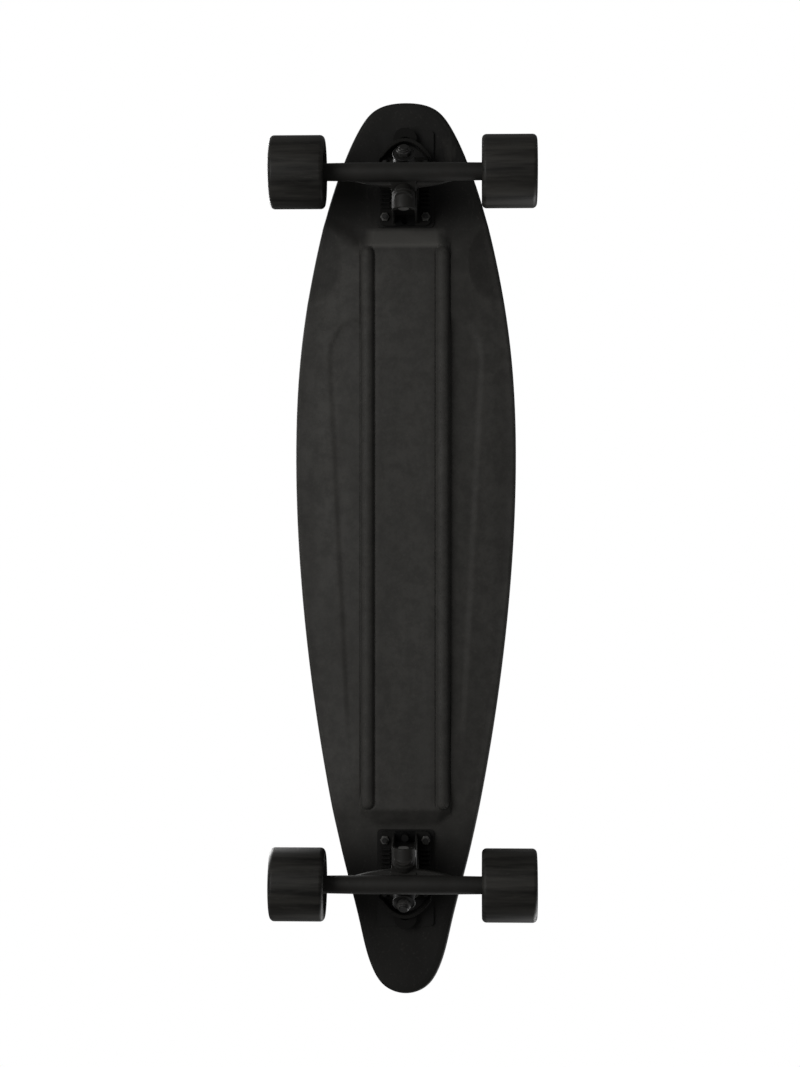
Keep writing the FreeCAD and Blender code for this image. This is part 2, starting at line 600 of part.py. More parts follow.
def make_riser():
    pad = rounded_plate((-45.2, 52.5), 28.6, (0, RISER_THICKNESS), 4.0)
    holes = [rod(BOLT_HOLE_RADIUS, V(u, side * BOLT_HALF_SPACING, -5), V(u, side * BOLT_HALF_SPACING, 8))
             for u in (BOLT_INNER_U, BOLT_OUTER_U) for side in (-1, 1)]
    holes.append(rod(4.6, V(-39.0, 0, -5), V(-39.0, 0, 8)))
    return pad.cut(holes)


def cup_washer(radius, k):
    """A dished washer: a flat floor at k with a rim that stands up towards the road."""
    top = k + CUP_WASHER_FLOOR
    floor = tube(radius, KINGPIN_RADIUS + 0.1, at(0, k), at(0, top))
    rim = tube(radius, radius - CUP_WASHER_RIM, at(0, top), at(0, k + CUP_WASHER_THICKNESS))
    return floor.fuse(rim).removeSplitter()


def make_kingpin_parts(prefix, axle_x, way):
    bore = KINGPIN_RADIUS + 0.15
    low = ROAD_WASHER_K + CUP_WASHER_FLOOR
    kingpin = rod(KINGPIN_RADIUS, at(0, -30.0), at(0, low + KINGPIN_NUT_HEIGHT + KINGPIN_END))
    head = hexagon(14.2, at(0, -36.0), at(0, -30.0))
    add("kingpins", place(kingpin.fuse(head), axle_x, way))
    board = tube(BUSHING_RADIUS, bore, at(0, SEAT_K + CUP_WASHER_FLOOR), at(0, -RING_HALF))
    waist = Part.makeTorus(BUSHING_RADIUS + 2.2, 3.4, at(0, -RING_HALF - BOARD_BUSHING_HEIGHT / 2), K)
    add(prefix + "_board_bushing", place(board.cut(waist), axle_x, way))
    cone = Part.makeCone(BUSHING_RADIUS, 9.6, ROAD_BUSHING_HEIGHT, at(0, RING_HALF), K)
    cone = cone.cut(rod(bore, at(0, 0), at(0, 40)))
    add(prefix + "_road_bushing", place(cone, axle_x, way))
    add("cup_washers", place(cup_washer(13.6, SEAT_K), axle_x, way),
        place(cup_washer(11.4, ROAD_WASHER_K), axle_x, way))
    nut = hexagon(KINGPIN_NUT_FLATS, at(0, low), at(0, low + KINGPIN_NUT_HEIGHT - 2))
    collar = rod(6.0, at(0, low), at(0, low + KINGPIN_NUT_HEIGHT))
    nut = nut.fuse(collar).cut(rod(KINGPIN_RADIUS + 0.02, at(0, 0), at(0, 60))).removeSplitter()
    add("kingpin_nuts", place(nut, axle_x, way))


WEB_U = -14.6
WEB_HALF = 52.0
WEB_Z = (-61.0, -52.0)
ARM_END_P = 31.2


def make_hanger(neck_radius, half):
    """The axle bar, the bushing ring, the pivot arm, the bowed web beside the bar and the pivot pin."""
    centre = V(0, 0, -TRUCK_HEIGHT)
    profile = [(0, -half), (neck_radius, -half), (neck_radius, -80.5), (BAR_END_RADIUS, -80.5),
               (BAR_RADIUS, -34), (BAR_RADIUS, 34), (BAR_END_RADIUS, 80.5), (neck_radius, 80.5),
               (neck_radius, half), (0, half)]
    bar = spin(profile, centre)
    ring = rod(RING_RADIUS, at(0, -RING_HALF), at(0, RING_HALF))
    arm = slab([at(6, -RING_HALF), at(29, -RING_HALF), at(ARM_END_P, -2), at(ARM_END_P, 6), at(30, 14),
                at(20, 17), at(14.2, 10), at(13.6, RING_HALF), at(6, RING_HALF)], 12.5)
    curve = Part.Arc(V(-6, -WEB_HALF, WEB_Z[0]), V(WEB_U, 0, WEB_Z[0]), V(-6, WEB_HALF, WEB_Z[0]))
    chord = Part.LineSegment(V(-6, WEB_HALF, WEB_Z[0]), V(-6, -WEB_HALF, WEB_Z[0]))
    web = Part.Face(Part.Wire([curve.toShape(), chord.toShape()])).extrude(V(0, 0, WEB_Z[1] - WEB_Z[0]))
    web = web.cut(slab([at(ARM_END_P, -40), at(60, -40), at(60, 40), at(ARM_END_P, 40)], WEB_HALF))
    pin = rod(PIVOT_RADIUS, at(29, 0), at(PIVOT_BALL_P, 0))
    ball = Part.makeSphere(PIVOT_RADIUS, at(PIVOT_BALL_P, 0))
    shape = fuse(bar, ring, arm, web, pin, ball)
    cutters = [
        rod(8.0, at(0, -20), at(0, 20)),
        rod(BUSHING_RADIUS + 1.2, at(0, RING_HALF), at(0, 30)),
        rod(AXLE_RADIUS + 0.03, centre - V(0, 140, 0), centre + V(0, 140, 0)),
    ]
    return shape.cut(cutters).removeSplitter()


def make_truck(prefix, axle_x, way, motor):
    add("riser_pads", place(make_riser(), axle_x, way))
    add(prefix + "_baseplate", place(make_baseplate(), axle_x, way))
    add("pivot_cups", place(make_pivot_cup(), axle_x, way))
    make_kingpin_parts(prefix, axle_x, way)
    half = MOTOR_NECK_END if motor else HANGER_HALF
    neck = MOTOR_NECK_RADIUS if motor else BAR_END_RADIUS
    add(prefix + "_hanger", place(make_hanger(neck, half), axle_x, way))
    end = 130.0 if motor else 126.0
    add(prefix + "_axle", rod(AXLE_RADIUS, V(axle_x, -end, AXLE_Z), V(axle_x, end, AXLE_Z)))


def make_truck_bolts():
    """Flat-head bolts through deck, riser and baseplate, with nuts on the road side."""
    for x, y in bolt_places():
        add("truck_bolts", countersunk(x, y, TOP_Z - 0.1, BOLT_RADIUS, 4.8, 28.0))
        low = PLATE_Z - PLATE_THICKNESS
        nut = hexagon(8.0, V(x, y, low), V(x, y, low - 4.6))
        add("truck_nuts", nut.cut(rod(BOLT_RADIUS + 0.02, V(x, y, low + 1), V(x, y, low - 9))))


# ---- wheels ------------------------------------------------------------------------------
def bearing_outer(kind, y):
    """Outer ring with both shields in one section."""
    o, w, lip = kind["outer"], kind["width"], kind["bore"] + 2.2
    return spin([(o, y), (o, y + w), (lip, y + w - 0.2), (lip, y + w - 0.6), (o - 1.65, y + w - 0.9),
                 (o - 1.65, y + 0.9), (lip, y + 0.6), (lip, y + 0.2)])


def bearing_inner(kind, y):
    return tube(kind["bore"] + 1.85, kind["bore"] + 0.01, V(0, y, 0), V(0, y + kind["width"], 0))


def bearing_balls(kind, y, count):
    """Loose balls between the two rings, with a tenth of a millimetre of play."""
    inner, outer = kind["bore"] + 1.85, kind["outer"] - 1.65
    pitch, radius = (inner + outer) / 2, (outer - inner) / 2 - 0.1
    balls = []
    for i in range(count):
        angle = 2 * math.pi * i / count
        middle = V(pitch * math.cos(angle), y + kind["width"] / 2, pitch * math.sin(angle))
        balls.append(Part.makeSphere(radius, middle))
    return balls


def washer(y, radius=5.6):
    return tube(radius, AXLE_RADIUS + 0.03, V(0, y, 0), V(0, y + WASHER_THICKNESS, 0))


def axle_nut(y):
    hexed = hexagon(12.7, V(0, y, 0), V(0, y + AXLE_NUT_HEIGHT - 2.5, 0))
    nut = hexed.fuse(rod(5.9, V(0, y, 0), V(0, y + AXLE_NUT_HEIGHT, 0)))
    return nut.cut(rod(AXLE_RADIUS + 0.02, V(0, y - 1, 0), V(0, y + 20, 0))).removeSplitter()


def rounded_spin(profile, rounds):
    """A turned body; rounds maps a (radius, y) corner to a fillet radius."""
    shape = spin(profile)
    for (r, y), fillet in rounds:
        edges = [e for e in shape.Edges if e.Closed and abs(e.BoundBox.YMin - y) < 0.01
                 and abs(e.BoundBox.YMax - y) < 0.01 and abs(e.BoundBox.XMax - r) < 0.01]
        shape = shape.makeFillet(fillet, edges)
    return shape


def make_plain_wheel():
    """Tyre, core and bearings of one front wheel, along +Y."""
    a, b = WHEEL_INNER_FACE, WHEEL_INNER_FACE + WHEEL_WIDTH
    tyre = rounded_spin(
        [(17.03, 89), (24, 80), (30, a), (WHEEL_RADIUS, a), (WHEEL_RADIUS, b), (30, b), (24.5, b - 2.5),
         (18.5, 118), (17.03, 117)],
        [((WHEEL_RADIUS, a), 4.0), ((WHEEL_RADIUS, b), 4.0)])
    core = spin([(11.02, 90.6), (14.5, 90.0), (17.0, 90.6), (17.0, 115.4), (14.5, 116.0), (11.02, 115.4),
                 (11.02, OUTER_BEARING_Y), (9.3, OUTER_BEARING_Y), (9.3, INNER_BEARING_Y + 7),
                 (11.02, INNER_BEARING_Y + 7)])
    bearings = []
    for y in (INNER_BEARING_Y, OUTER_BEARING_Y):
        bearings += [bearing_outer(BEARING, y)] + bearing_balls(BEARING, y, 7)
    return {"tyre": [tyre], "core": [core], "bearings": bearings}


SCREW_CIRCLE = 19.0


def make_motor_wheel():
    """Sleeve tyre, rotor can with its cover, magnets and bearings of one rear wheel, along +Y."""
    a, b = WHEEL_INNER_FACE, WHEEL_INNER_FACE + WHEEL_WIDTH
    tyre = rounded_spin(
        [(27.45, 79.5), (28.5, a), (WHEEL_RADIUS, a), (WHEEL_RADIUS, b), (28.0, b), (25.0, 122.0),
         (25.0, 120.0), (27.45, 120.0)],
        [((WHEEL_RADIUS, a), 4.0), ((WHEEL_RADIUS, b), 4.0)])
    can = spin([(27.4, 86.0), (27.4, 119.8), (15, 119.8), (13.5, 121.5), (10.2, 121.5), (10.2, 120.1),
                (11.02, 120.1), (11.02, 113.0), (13.6, 113.0), (13.6, 116.2), (24.7, 116.2), (24.7, 86.0)])
    vents = []
    for i in range(6):
        angle = 2 * math.pi * (i + 0.5) / 6
        start = V(SCREW_CIRCLE * math.cos(angle), 110, SCREW_CIRCLE * math.sin(angle))
        vents.append(rod(2.6, start, start + V(0, 15, 0)))
    can = can.cut(vents)
    cover = spin([(12.02, 80.5), (27.4, 80.5), (27.4, 85.9), (24.7, 85.9), (24.7, 83.5), (15.0, 83.5),
                  (14.2, 86.6), (12.02, 86.6)])
    magnets = []
    for i in range(14):
        block = tube(24.65, 23.4, V(0, 88, 0), V(0, 110, 0))
        angle = 2 * math.pi * i / 14
        half = math.radians(11)
        wedge = [V(0, 88, 0), V(40 * math.cos(angle - half), 88, 40 * math.sin(angle - half)),
                 V(40 * math.cos(angle + half), 88, 40 * math.sin(angle + half))]
        magnets.append(block.common(prism(wedge, V(0, 22, 0))))
    bearings = []
    for kind, y, count in ((MOTOR_BEARING, MOTOR_BEARING_Y, 9), (BEARING, MOTOR_OUTER_BEARING_Y, 7)):
        bearings += [bearing_outer(kind, y)] + bearing_balls(kind, y, count)
    return {"tyre": [tyre], "rotor": [can, cover], "magnets": magnets, "bearings": bearings}


STATOR_Y = (89.0, 109.0)
TEETH = 12


def make_stator():
    """Laminated core with twelve teeth, and a coil round each tooth."""
    y0, y1 = STATOR_Y
    long = V(0, y1 - y0, 0)
    core = [tube(12.4, MOTOR_NECK_RADIUS + 0.03, V(0, y0, 0), V(0, y1, 0))]
    rim = tube(22.8, 21.4, V(0, y0, 0), V(0, y1, 0))
    coils = []
    for i in range(TEETH):
        angle = 360.0 * i / TEETH

        def turned(points, length):
            shape = prism(points, length)
            shape.rotate(V(0, 0, 0), V(0, 1, 0), angle)
            return shape

        core.append(turned([V(12, y0, -2), V(21.6, y0, -2), V(21.6, y0, 2), V(12, y0, 2)], long))
        half = math.radians(12.5)
        tip = [V(0, y0, 0), V(40 * math.cos(half), y0, -40 * math.sin(half)),
               V(40 * math.cos(half), y0, 40 * math.sin(half))]
        core.append(rim.common(turned(tip, long)))
        y = y0 - 2.4
        coil = turned([V(13.4, y, -3.0), V(20.8, y, -4.6), V(20.8, y, 4.6), V(13.4, y, 3.0)],
                      long + V(0, 4.8, 0))
        y = y0 - 0.1
        slot = turned([V(12, y, -2.1), V(22, y, -2.1), V(22, y, 2.1), V(12, y, 2.1)], long + V(0, 0.2, 0))
        coils.append(coil.cut(slot))
    return fuse(*core), coils


def side_place(shape, axle_x, side):
    """Puts a +Y wheel piece on the left, or turned round on the right."""
    copy = shape.copy()
    if side < 0:
        copy.rotate(V(0, 0, 0), V(0, 0, 1), 180)
    copy.translate(V(axle_x, 0, AXLE_Z))
    return copy


def make_wheels():
    core, coils = make_stator()
    ends = (("front", FRONT_AXLE_X, make_plain_wheel()), ("rear", REAR_AXLE_X, make_motor_wheel()))
    for prefix, axle_x, wheel in ends:
        for name, side in (("left", 1), ("right", -1)):
            for piece, shapes in wheel.items():
                add(f"{prefix}_{name}_{piece}", *[side_place(s, axle_x, side) for s in shapes])
    for side in (-1, 1):
        def put(name, axle_x, shape):
            add(name, side_place(shape, axle_x, side))

        middle = (INNER_BEARING_Y + OUTER_BEARING_Y + BEARING["width"]) / 2
        for y, inward in ((INNER_BEARING_Y, 1), (OUTER_BEARING_Y, -1)):
            ring = bearing_inner(BEARING, y)
            face = y + BEARING["width"] if inward > 0 else y
            spacer = tube(5.2, BEARING["bore"] + 0.01, V(0, face, 0), V(0, middle, 0))
            put("front_bearing_inner_rings", FRONT_AXLE_X, ring.fuse(spacer).removeSplitter())
        put("front_speed_washers", FRONT_AXLE_X, washer(HANGER_HALF))
        put("front_speed_washers", FRONT_AXLE_X, washer(OUTER_BEARING_Y + 7))
        put("front_axle_nuts", FRONT_AXLE_X, axle_nut(OUTER_BEARING_Y + 8))
        put("rear_bearing_inner_rings", REAR_AXLE_X, bearing_inner(MOTOR_BEARING, MOTOR_BEARING_Y))
        put("rear_bearing_inner_rings", REAR_AXLE_X, bearing_inner(BEARING, MOTOR_OUTER_BEARING_Y))
        collar = tube(5.6, AXLE_RADIUS + 0.03, V(0, MOTOR_NECK_END, 0), V(0, MOTOR_OUTER_BEARING_Y, 0))
        put("rear_washers", REAR_AXLE_X, collar)
        put("rear_washers", REAR_AXLE_X, washer(MOTOR_OUTER_BEARING_Y + 7))
        put("rear_axle_nuts", REAR_AXLE_X, axle_nut(MOTOR_OUTER_BEARING_Y + 8))
        put("stator_cores", REAR_AXLE_X, core)
        for coil in coils:
            put("stator_coils", REAR_AXLE_X, coil)


def main():
    make_deck()
    make_covers()
    make_battery()
    make_electronics()
    make_controls()
    make_truck("front", FRONT_AXLE_X, 1, False)
    make_truck("rear", REAR_AXLE_X, -1, True)
    make_truck_bolts()
    make_wheels()
    os.makedirs("parts", exist_ok=True)
    for name, solids in nodes.items():
        shape = solids[0] if len(solids) == 1 else Part.makeCompound(solids)
        if not all(s.isValid() and s.Volume > 0 for s in solids):
            print("bad solid in", name)
        shape.exportStep(f"parts/{name}.step")
    print(len(nodes), "nodes,", sum(len(s) for s in nodes.values()), "solids")


main()
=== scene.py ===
import bmesh
import bpy
import json
import math
import numpy as np
from mathutils import Matrix, Vector


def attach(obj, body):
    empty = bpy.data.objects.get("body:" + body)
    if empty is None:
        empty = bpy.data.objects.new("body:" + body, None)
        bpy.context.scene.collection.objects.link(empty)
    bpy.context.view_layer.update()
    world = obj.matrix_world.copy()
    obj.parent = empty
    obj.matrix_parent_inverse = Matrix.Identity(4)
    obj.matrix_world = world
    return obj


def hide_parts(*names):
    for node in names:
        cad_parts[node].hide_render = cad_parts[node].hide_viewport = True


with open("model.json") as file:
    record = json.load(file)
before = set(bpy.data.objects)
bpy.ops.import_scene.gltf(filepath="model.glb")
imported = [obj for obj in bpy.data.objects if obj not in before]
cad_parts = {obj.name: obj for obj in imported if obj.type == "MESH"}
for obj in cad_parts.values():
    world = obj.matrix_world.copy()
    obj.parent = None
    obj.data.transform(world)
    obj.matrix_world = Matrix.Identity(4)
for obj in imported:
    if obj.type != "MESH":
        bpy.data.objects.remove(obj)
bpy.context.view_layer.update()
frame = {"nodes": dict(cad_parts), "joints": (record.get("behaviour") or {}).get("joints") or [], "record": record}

MM = 0.001
JOINTS = {joint["name"]: joint for joint in frame["joints"]}

# ---- sizes in millimetres, in the row frame ----------------------------------------------
WHEEL_RADIUS = 36.0
WHEEL_FACES = (77.0, 131.0)
PAD_Z = 104.0
TOP_Z = 116.0
SPINE_Z = 92.0
FLAT_HALF = 50.0
EDGE_THICKNESS = 11.0
EDGE_RISE = 7.0
WIDEST_HALF = 112.0

# Half widths of the pintail outline, from the tail's tip to the nose's tip.
OUTLINE = [
    (-452.0, 0.0), (-443.5, 22.6), (-426.5, 33.8), (-381.0, 46.5), (-320.0, 62.0),
    (-240.0, 79.1), (-140.0, 95.2), (-30.0, 107.0), (90.0, WIDEST_HALF), (190.0, 107.8),
    (266.0, 97.1), (330.0, 82.8), (390.0, 63.4), (425.0, 47.2), (443.5, 32.6), (452.0, 0.0),
]

SPINE_X = (-264.0, 306.0)
SPINE_HALF = 43.5
SPINE_SIDE_SLOPE = 3.2
RAMP_LENGTH = 17.5
RIB_Y = 37.9
RIB_RADIUS = 6.4
RIB_X = (-257.0, 298.0)
RIB_SINK = 1.4                # how far the ribs' middle lines lie above the spine's face
GROOVE_RADIUS = 7.3           # of the parting groove round a rib's foot
GROOVE_HALF = 0.9
FLARE_START = 47.0
FLARE_SLOPE = 0.262
FLARE_LIFT = 3.2
RECESS_X = (-230.0, 234.0)
RECESS_DEPTH = 2.5
RECESS_EDGE = 3.6             # half the width of its sloping edge
RECESS_BOW_X = 190.0          # where its outline starts to close towards the nose
RECESS_BOW = (42.0, 30.0)     # length and width of that closing quarter ellipse
WELL_CENTRE = (290.0, 98.0)
WELL_HALF = (42.0, 34.0)
WELL_DEPTH = 3.0
REBATE_X = (-262.3, 302.3)
REBATE_HALF = 38.3
LID_SEAT_Z = 113.5
RIM = 8.0                     # width of the rounded rim round the deck

BOLT_U = (-35.6, 18.2)        # the truck bolts' places, outwards from each axle
BOLT_Y = (-20.65, 20.65)
NUT_SEAT_Z = PAD_Z - 9.0
TRUCK_NUT_FLATS = 8.0
WIDE_NUT_FLATS = 12.7         # kingpin and axle nuts
KINGPIN_RADIUS = 4.7
BUSHING_BORE = 4.85
BUSHING_RADIUS = 12.2
CONE_TOP_RADIUS = 9.6
BARREL_SPAN = (-19.5, -4.5)   # heights along the kingpin, from the hanger's ring
CONE_SPAN = (4.5, 18.5)
LIP = 0.8                     # rounding of the bushings' corners
TREAD_LIP = 4.6               # rounding of the tyres' edges
LID_SCREW_Y = (-34.8, 34.8)
LID_SCREW_X = (-254.0, -227.0, -205.0, -120.0, -35.0, 50.0, 135.0, 220.0, 290.0)

# How wide the edges of the carried-over pieces are broken.
SOFT_PIECES = {
    "riser_pads": 1.0, "bay_lid": 0.25, "control_panel": 0.25, "charge_cap": 0.3, "power_button": 0.12,
    "front_left_core": 0.3, "front_right_core": 0.3, "rear_left_rotor": 0.35, "rear_right_rotor": 0.35,
    "front_axle": 0.5, "rear_axle": 0.5, "front_speed_washers": 0.15, "rear_washers": 0.15,
    "pivot_cups": 0.25, "grip_tape": 0.2,
}


# ---- mesh helpers ------------------------------------------------------------------------
def smoothstep(a, b, x):
    t = np.clip((x - a) / (b - a), 0.0, 1.0)
    return t * t * (3 - 2 * t)


def soft_min(a, b, k):
    """The lower of two heights, rounded over where they meet."""
    h = np.clip(0.5 + 0.5 * (b - a) / k, 0.0, 1.0)
    return b + (a - b) * h - k * h * (1 - h)


def soft_max(a, b, k):
    return -soft_min(-a, -b, k)


def mesh_object(name, vertices, faces, sharp_angle=35.0):
    """A smooth-shaded mesh object from millimetre points, with its sharp edges marked."""
    mesh = bpy.data.meshes.new(name)
    mesh.from_pydata([tuple(c * MM for c in v) for v in vertices], [], faces)
    bm = bmesh.new()
    bm.from_mesh(mesh)
    bmesh.ops.remove_doubles(bm, verts=bm.verts, dist=0.002 * MM)
    bmesh.ops.dissolve_degenerate(bm, edges=bm.edges, dist=0.001 * MM)
    bmesh.ops.recalc_face_normals(bm, faces=bm.faces)
    finish_shading(bm, sharp_angle)
    bm.to_mesh(mesh)
    bm.free()
    piece = bpy.data.objects.new(name, mesh)
    bpy.context.scene.collection.objects.link(piece)
    return piece


def finish_shading(bm, sharp_angle):
    limit = math.radians(sharp_angle)
    for face in bm.faces:
        face.smooth = True
    for edge in bm.edges:
        edge.smooth = len(edge.link_faces) == 2 and edge.calc_face_angle(0.0) < limit


def arc(centre, radius, start, end, steps=8):
    """Points of an arc in the (radius, height) plane, angles in degrees."""
    angles = [math.radians(start + (end - start) * i / steps) for i in range(steps + 1)]
    return [(centre[0] + radius * math.cos(a), centre[1] + radius * math.sin(a)) for a in angles]


def side_axes(axis):
    """Two directions across an axis."""
    axis = Vector(axis).normalized()
    first = axis.cross(Vector((0, 1, 0)))
    if first.length < 0.1:
        first = axis.cross(Vector((0, 0, 1)))
    first.normalize()
    return axis, first, axis.cross(first)


def turned(name, profile, base, axis, segments=96, flats=None, closed=True, bore_radius=0.0):
    """A turned solid from (radius, height) points. With flats it is also hexagonal, where the
    profile is wider than the hexagon and outside the bore."""
    axis, first, second = side_axes(axis)
    base = Vector(base)
    vertices, faces = [], []
    for i in range(segments):
        angle = 2 * math.pi * i / segments
        limit = math.inf
        if flats:
            limit = flats / 2 / math.cos((angle + math.pi / 6) % (math.pi / 3) - math.pi / 6)
        out = first * math.cos(angle) + second * math.sin(angle)
        for radius, height in profile:
            r = min(radius, limit) if radius > bore_radius else radius
            vertices.append(base + out * r + axis * height)
    count = len(profile)
    for i in range(segments):
        j = (i + 1) % segments
        for k in range(count if closed else count - 1):
            m = (k + 1) % count
            faces.append((i * count + k, i * count + m, j * count + m, j * count + k))
    return mesh_object(name, vertices, faces)


def join(name, pieces):
    """One object from several, which then ride together."""
    first = pieces[0]
    bm = bmesh.new()
    for piece in pieces:
        bm.from_mesh(piece.data)
    bm.to_mesh(first.data)
    bm.free()
    for piece in pieces[1:]:
        bpy.data.objects.remove(piece)
    first.name = name
    return first


# ---- materials ---------------------------------------------------------------------------
class Nodes:
    """A material's node tree, written as short calls."""

    def __init__(self, name):
        self.material = bpy.data.materials.new(name)
        self.material.use_nodes = True
        self.tree = self.material.node_tree
        self.shader = self.tree.nodes["Principled BSDF"]
        self.place = self.add("ShaderNodeTexCoord").outputs["Object"]

    def add(self, kind, **settings):
        node = self.tree.nodes.new(kind)
        for key, value in settings.items():
            setattr(node, key, value)
        return node

    def link(self, source, target):
        self.tree.links.new(source, target)

    def stretched(self, scale):
        node = self.add("ShaderNodeMapping")
        node.inputs["Scale"].default_value = scale
        self.link(self.place, node.inputs["Vector"])
        return node.outputs["Vector"]

    def noise(self, scale, detail=3.0, roughness=0.55, stretch=(1, 1, 1)):
        node = self.add("ShaderNodeTexNoise")
        node.inputs["Scale"].default_value = scale
        node.inputs["Detail"].default_value = detail
        node.inputs["Roughness"].default_value = roughness
        self.link(self.stretched(stretch), node.inputs["Vector"])
        return node.outputs["Fac"]

    def span(self, value, low, high, to_low, to_high):
        node = self.add("ShaderNodeMapRange", clamp=True)
        numbers = {"From Min": low, "From Max": high, "To Min": to_low, "To Max": to_high}
        for key, number in numbers.items():
            node.inputs[key].default_value = number
        self.link(value, node.inputs["Value"])
        return node.outputs["Result"]

    def blend(self, factor, first, second):
        """Mixes two colours, each a tuple or a socket."""
        node = self.add("ShaderNodeMix", data_type="RGBA")
        self.link(factor, node.inputs["Factor"])
        for socket, colour in ((node.inputs[6], first), (node.inputs[7], second)):
            if isinstance(colour, tuple):
                socket.default_value = (*colour, 1.0)
            else:
                self.link(colour, socket)
        return node.outputs[2]

    def math(self, operation, first, second):
        node = self.add("ShaderNodeMath", operation=operation)
        for socket, value in zip(node.inputs, (first, second)):
            if isinstance(value, (int, float)):
                socket.default_value = value
            else:
                self.link(value, socket)
        return node.outputs[0]

    def bump(self, height, strength, distance, normal=None):
        node = self.add("ShaderNodeBump")
        node.inputs["Strength"].default_value = strength
        node.inputs["Distance"].default_value = distance
        self.link(height, node.inputs["Height"])
        if normal is not None:
            self.link(normal, node.inputs["Normal"])
        return node.outputs["Normal"]

    def edges(self, low=0.52, high=0.60):
        """1 along convex edges, 0 elsewhere."""
        node = self.add("ShaderNodeNewGeometry")
        return self.span(node.outputs["Pointiness"], low, high, 0.0, 1.0)

    def axis(self, name):
        node = self.add("ShaderNodeSeparateXYZ")
        self.link(self.place, node.inputs[0])
        return node.outputs[name]

    def surface(self, colour, roughness, normal=None, metallic=0.0, specular=0.5):
        sockets = self.shader.inputs
        self.link(colour, sockets["Base Color"])
        self.link(roughness, sockets["Roughness"])
        sockets["Metallic"].default_value = metallic
        sockets["Specular IOR Level"].default_value = specular
        if normal is not None:
            self.link(normal, sockets["Normal"])
        return self.material


def moulded(name, dark, light, rough=(0.45, 0.6), grain=900.0, strength=0.25, specular=0.5, wear=None):
    """Moulded plastic or rubber: fine grain, slow mottling and lighter edges."""
    n = Nodes(name)
    mottle = n.span(n.noise(14.0, 4.0), 0.3, 0.7, 0.0, 1.0)
    colour = n.blend(mottle, dark, light)
    if wear:
        worn = n.math("MULTIPLY", n.edges(), n.span(n.noise(160.0, 3.0), 0.45, 0.7, 0.0, 1.0))
        colour = n.blend(worn, colour, wear)
    fine = n.noise(grain, 2.0)
    normal = n.bump(fine, strength, 0.0003)
    roughness = n.span(n.noise(60.0, 4.0), 0.3, 0.7, *rough)
    return n.surface(colour, roughness, normal, specular=specular)


def metal(name, dark, light, rough=(0.25, 0.42), brushed=(1, 1, 1), bare=1.0, specular=0.5):
    """Bare or plated metal with fine tool marks and faint stains."""
    n = Nodes(name)
    stain = n.span(n.noise(80.0, 5.0), 0.35, 0.7, 0.0, 1.0)
    colour = n.blend(stain, light, dark)
    marks = n.noise(500.0, 3.0, stretch=brushed)
    roughness = n.span(marks, 0.3, 0.7, *rough)
    normal = n.bump(marks, 0.08, 0.0002)
    return n.surface(colour, roughness, normal, metallic=bare, specular=specular)


def cast_material():
    """Satin powder coat over cast aluminium: thin on the edges and duller close to the deck, with painted
    shade: darker towards the deck, and black between the cheeks at the plate's height, inside the pivot towers.
    Heights are above the ground."""
    n = Nodes("cast_black")
    mottle = n.span(n.noise(35.0, 4.0), 0.3, 0.7, 0.0, 1.0)
    colour = n.blend(mottle, (0.0120, 0.0115, 0.0104), (0.0168, 0.0161, 0.0146))
    z = n.axis("Z")
    # Painted shade: the coat turns nearly black towards the deck, standing in for the shade under the board.
    near_deck_painted_shade = n.span(z, 0.078, 0.090, 0.0, 0.75)
    colour = n.blend(near_deck_painted_shade, colour, (0.0035, 0.0033, 0.0030))
    worn = n.math("MULTIPLY", n.edges(0.57, 0.70), n.span(n.noise(220.0, 3.0), 0.4, 0.65, 0.0, 0.3))
    colour = n.blend(worn, colour, (0.040, 0.039, 0.036))
    # Painted shade: the plate between the cheeks is coloured nearly black, standing in for the shadow in the
    # pocket and the towers.
    between_cheeks = n.span(n.math("ABSOLUTE", n.axis("Y"), 0.0), 0.0095, 0.0110, 1.0, 0.0)
    hollow = n.math("MULTIPLY", between_cheeks, n.span(z, 0.0925, 0.0935, 0.0, 1.0))
    colour = n.blend(hollow, colour, (0.0006, 0.0006, 0.0006))
    peel = n.noise(650.0, 2.0)
    cast = n.noise(110.0, 3.0)
    normal = n.bump(peel, 0.18, 0.0002, n.bump(cast, 0.12, 0.0005))
    dull = n.span(z, 0.050, 0.064, 0.5, 0.9)
    rough = n.math("MAXIMUM", n.span(cast, 0.3, 0.7, 0.50, 0.64), dull)
    return n.surface(colour, rough, normal, specular=0.16)


def nut_material():
    """Dull plate on the truck nuts, with painted shade that darkens the outer ones, which the arch and the
    bushings shelter.
    """
    n = Nodes("nut_steel")
    x = n.axis("X")
    front_outer = n.span(x, 0.376, 0.380, 0.0, 1.0)
    rear_outer = n.span(x, -0.340, -0.336, 1.0, 0.0)
    # Painted shade: the outer nuts, in the arch's pocket, are coloured nearly black, standing in for the shadow
    # there.
    shaded_outer_nuts = n.math("MAXIMUM", front_outer, rear_outer)
    stain = n.span(n.noise(300.0, 4.0), 0.35, 0.7, 0.0, 1.0)
    colour = n.blend(stain, (0.085, 0.083, 0.079), (0.045, 0.044, 0.041))
    colour = n.blend(shaded_outer_nuts, colour, (0.0060, 0.0058, 0.0054))
    marks = n.noise(500.0, 3.0)
    outer_nut_roughness = n.span(shaded_outer_nuts, 0.0, 1.0, 0.4, 0.9)
    rough = n.math("MAXIMUM", n.span(marks, 0.3, 0.7, 0.40, 0.55), outer_nut_roughness)
    return n.surface(colour, rough, n.bump(marks, 0.08, 0.0002), metallic=0.3, specular=0.3)


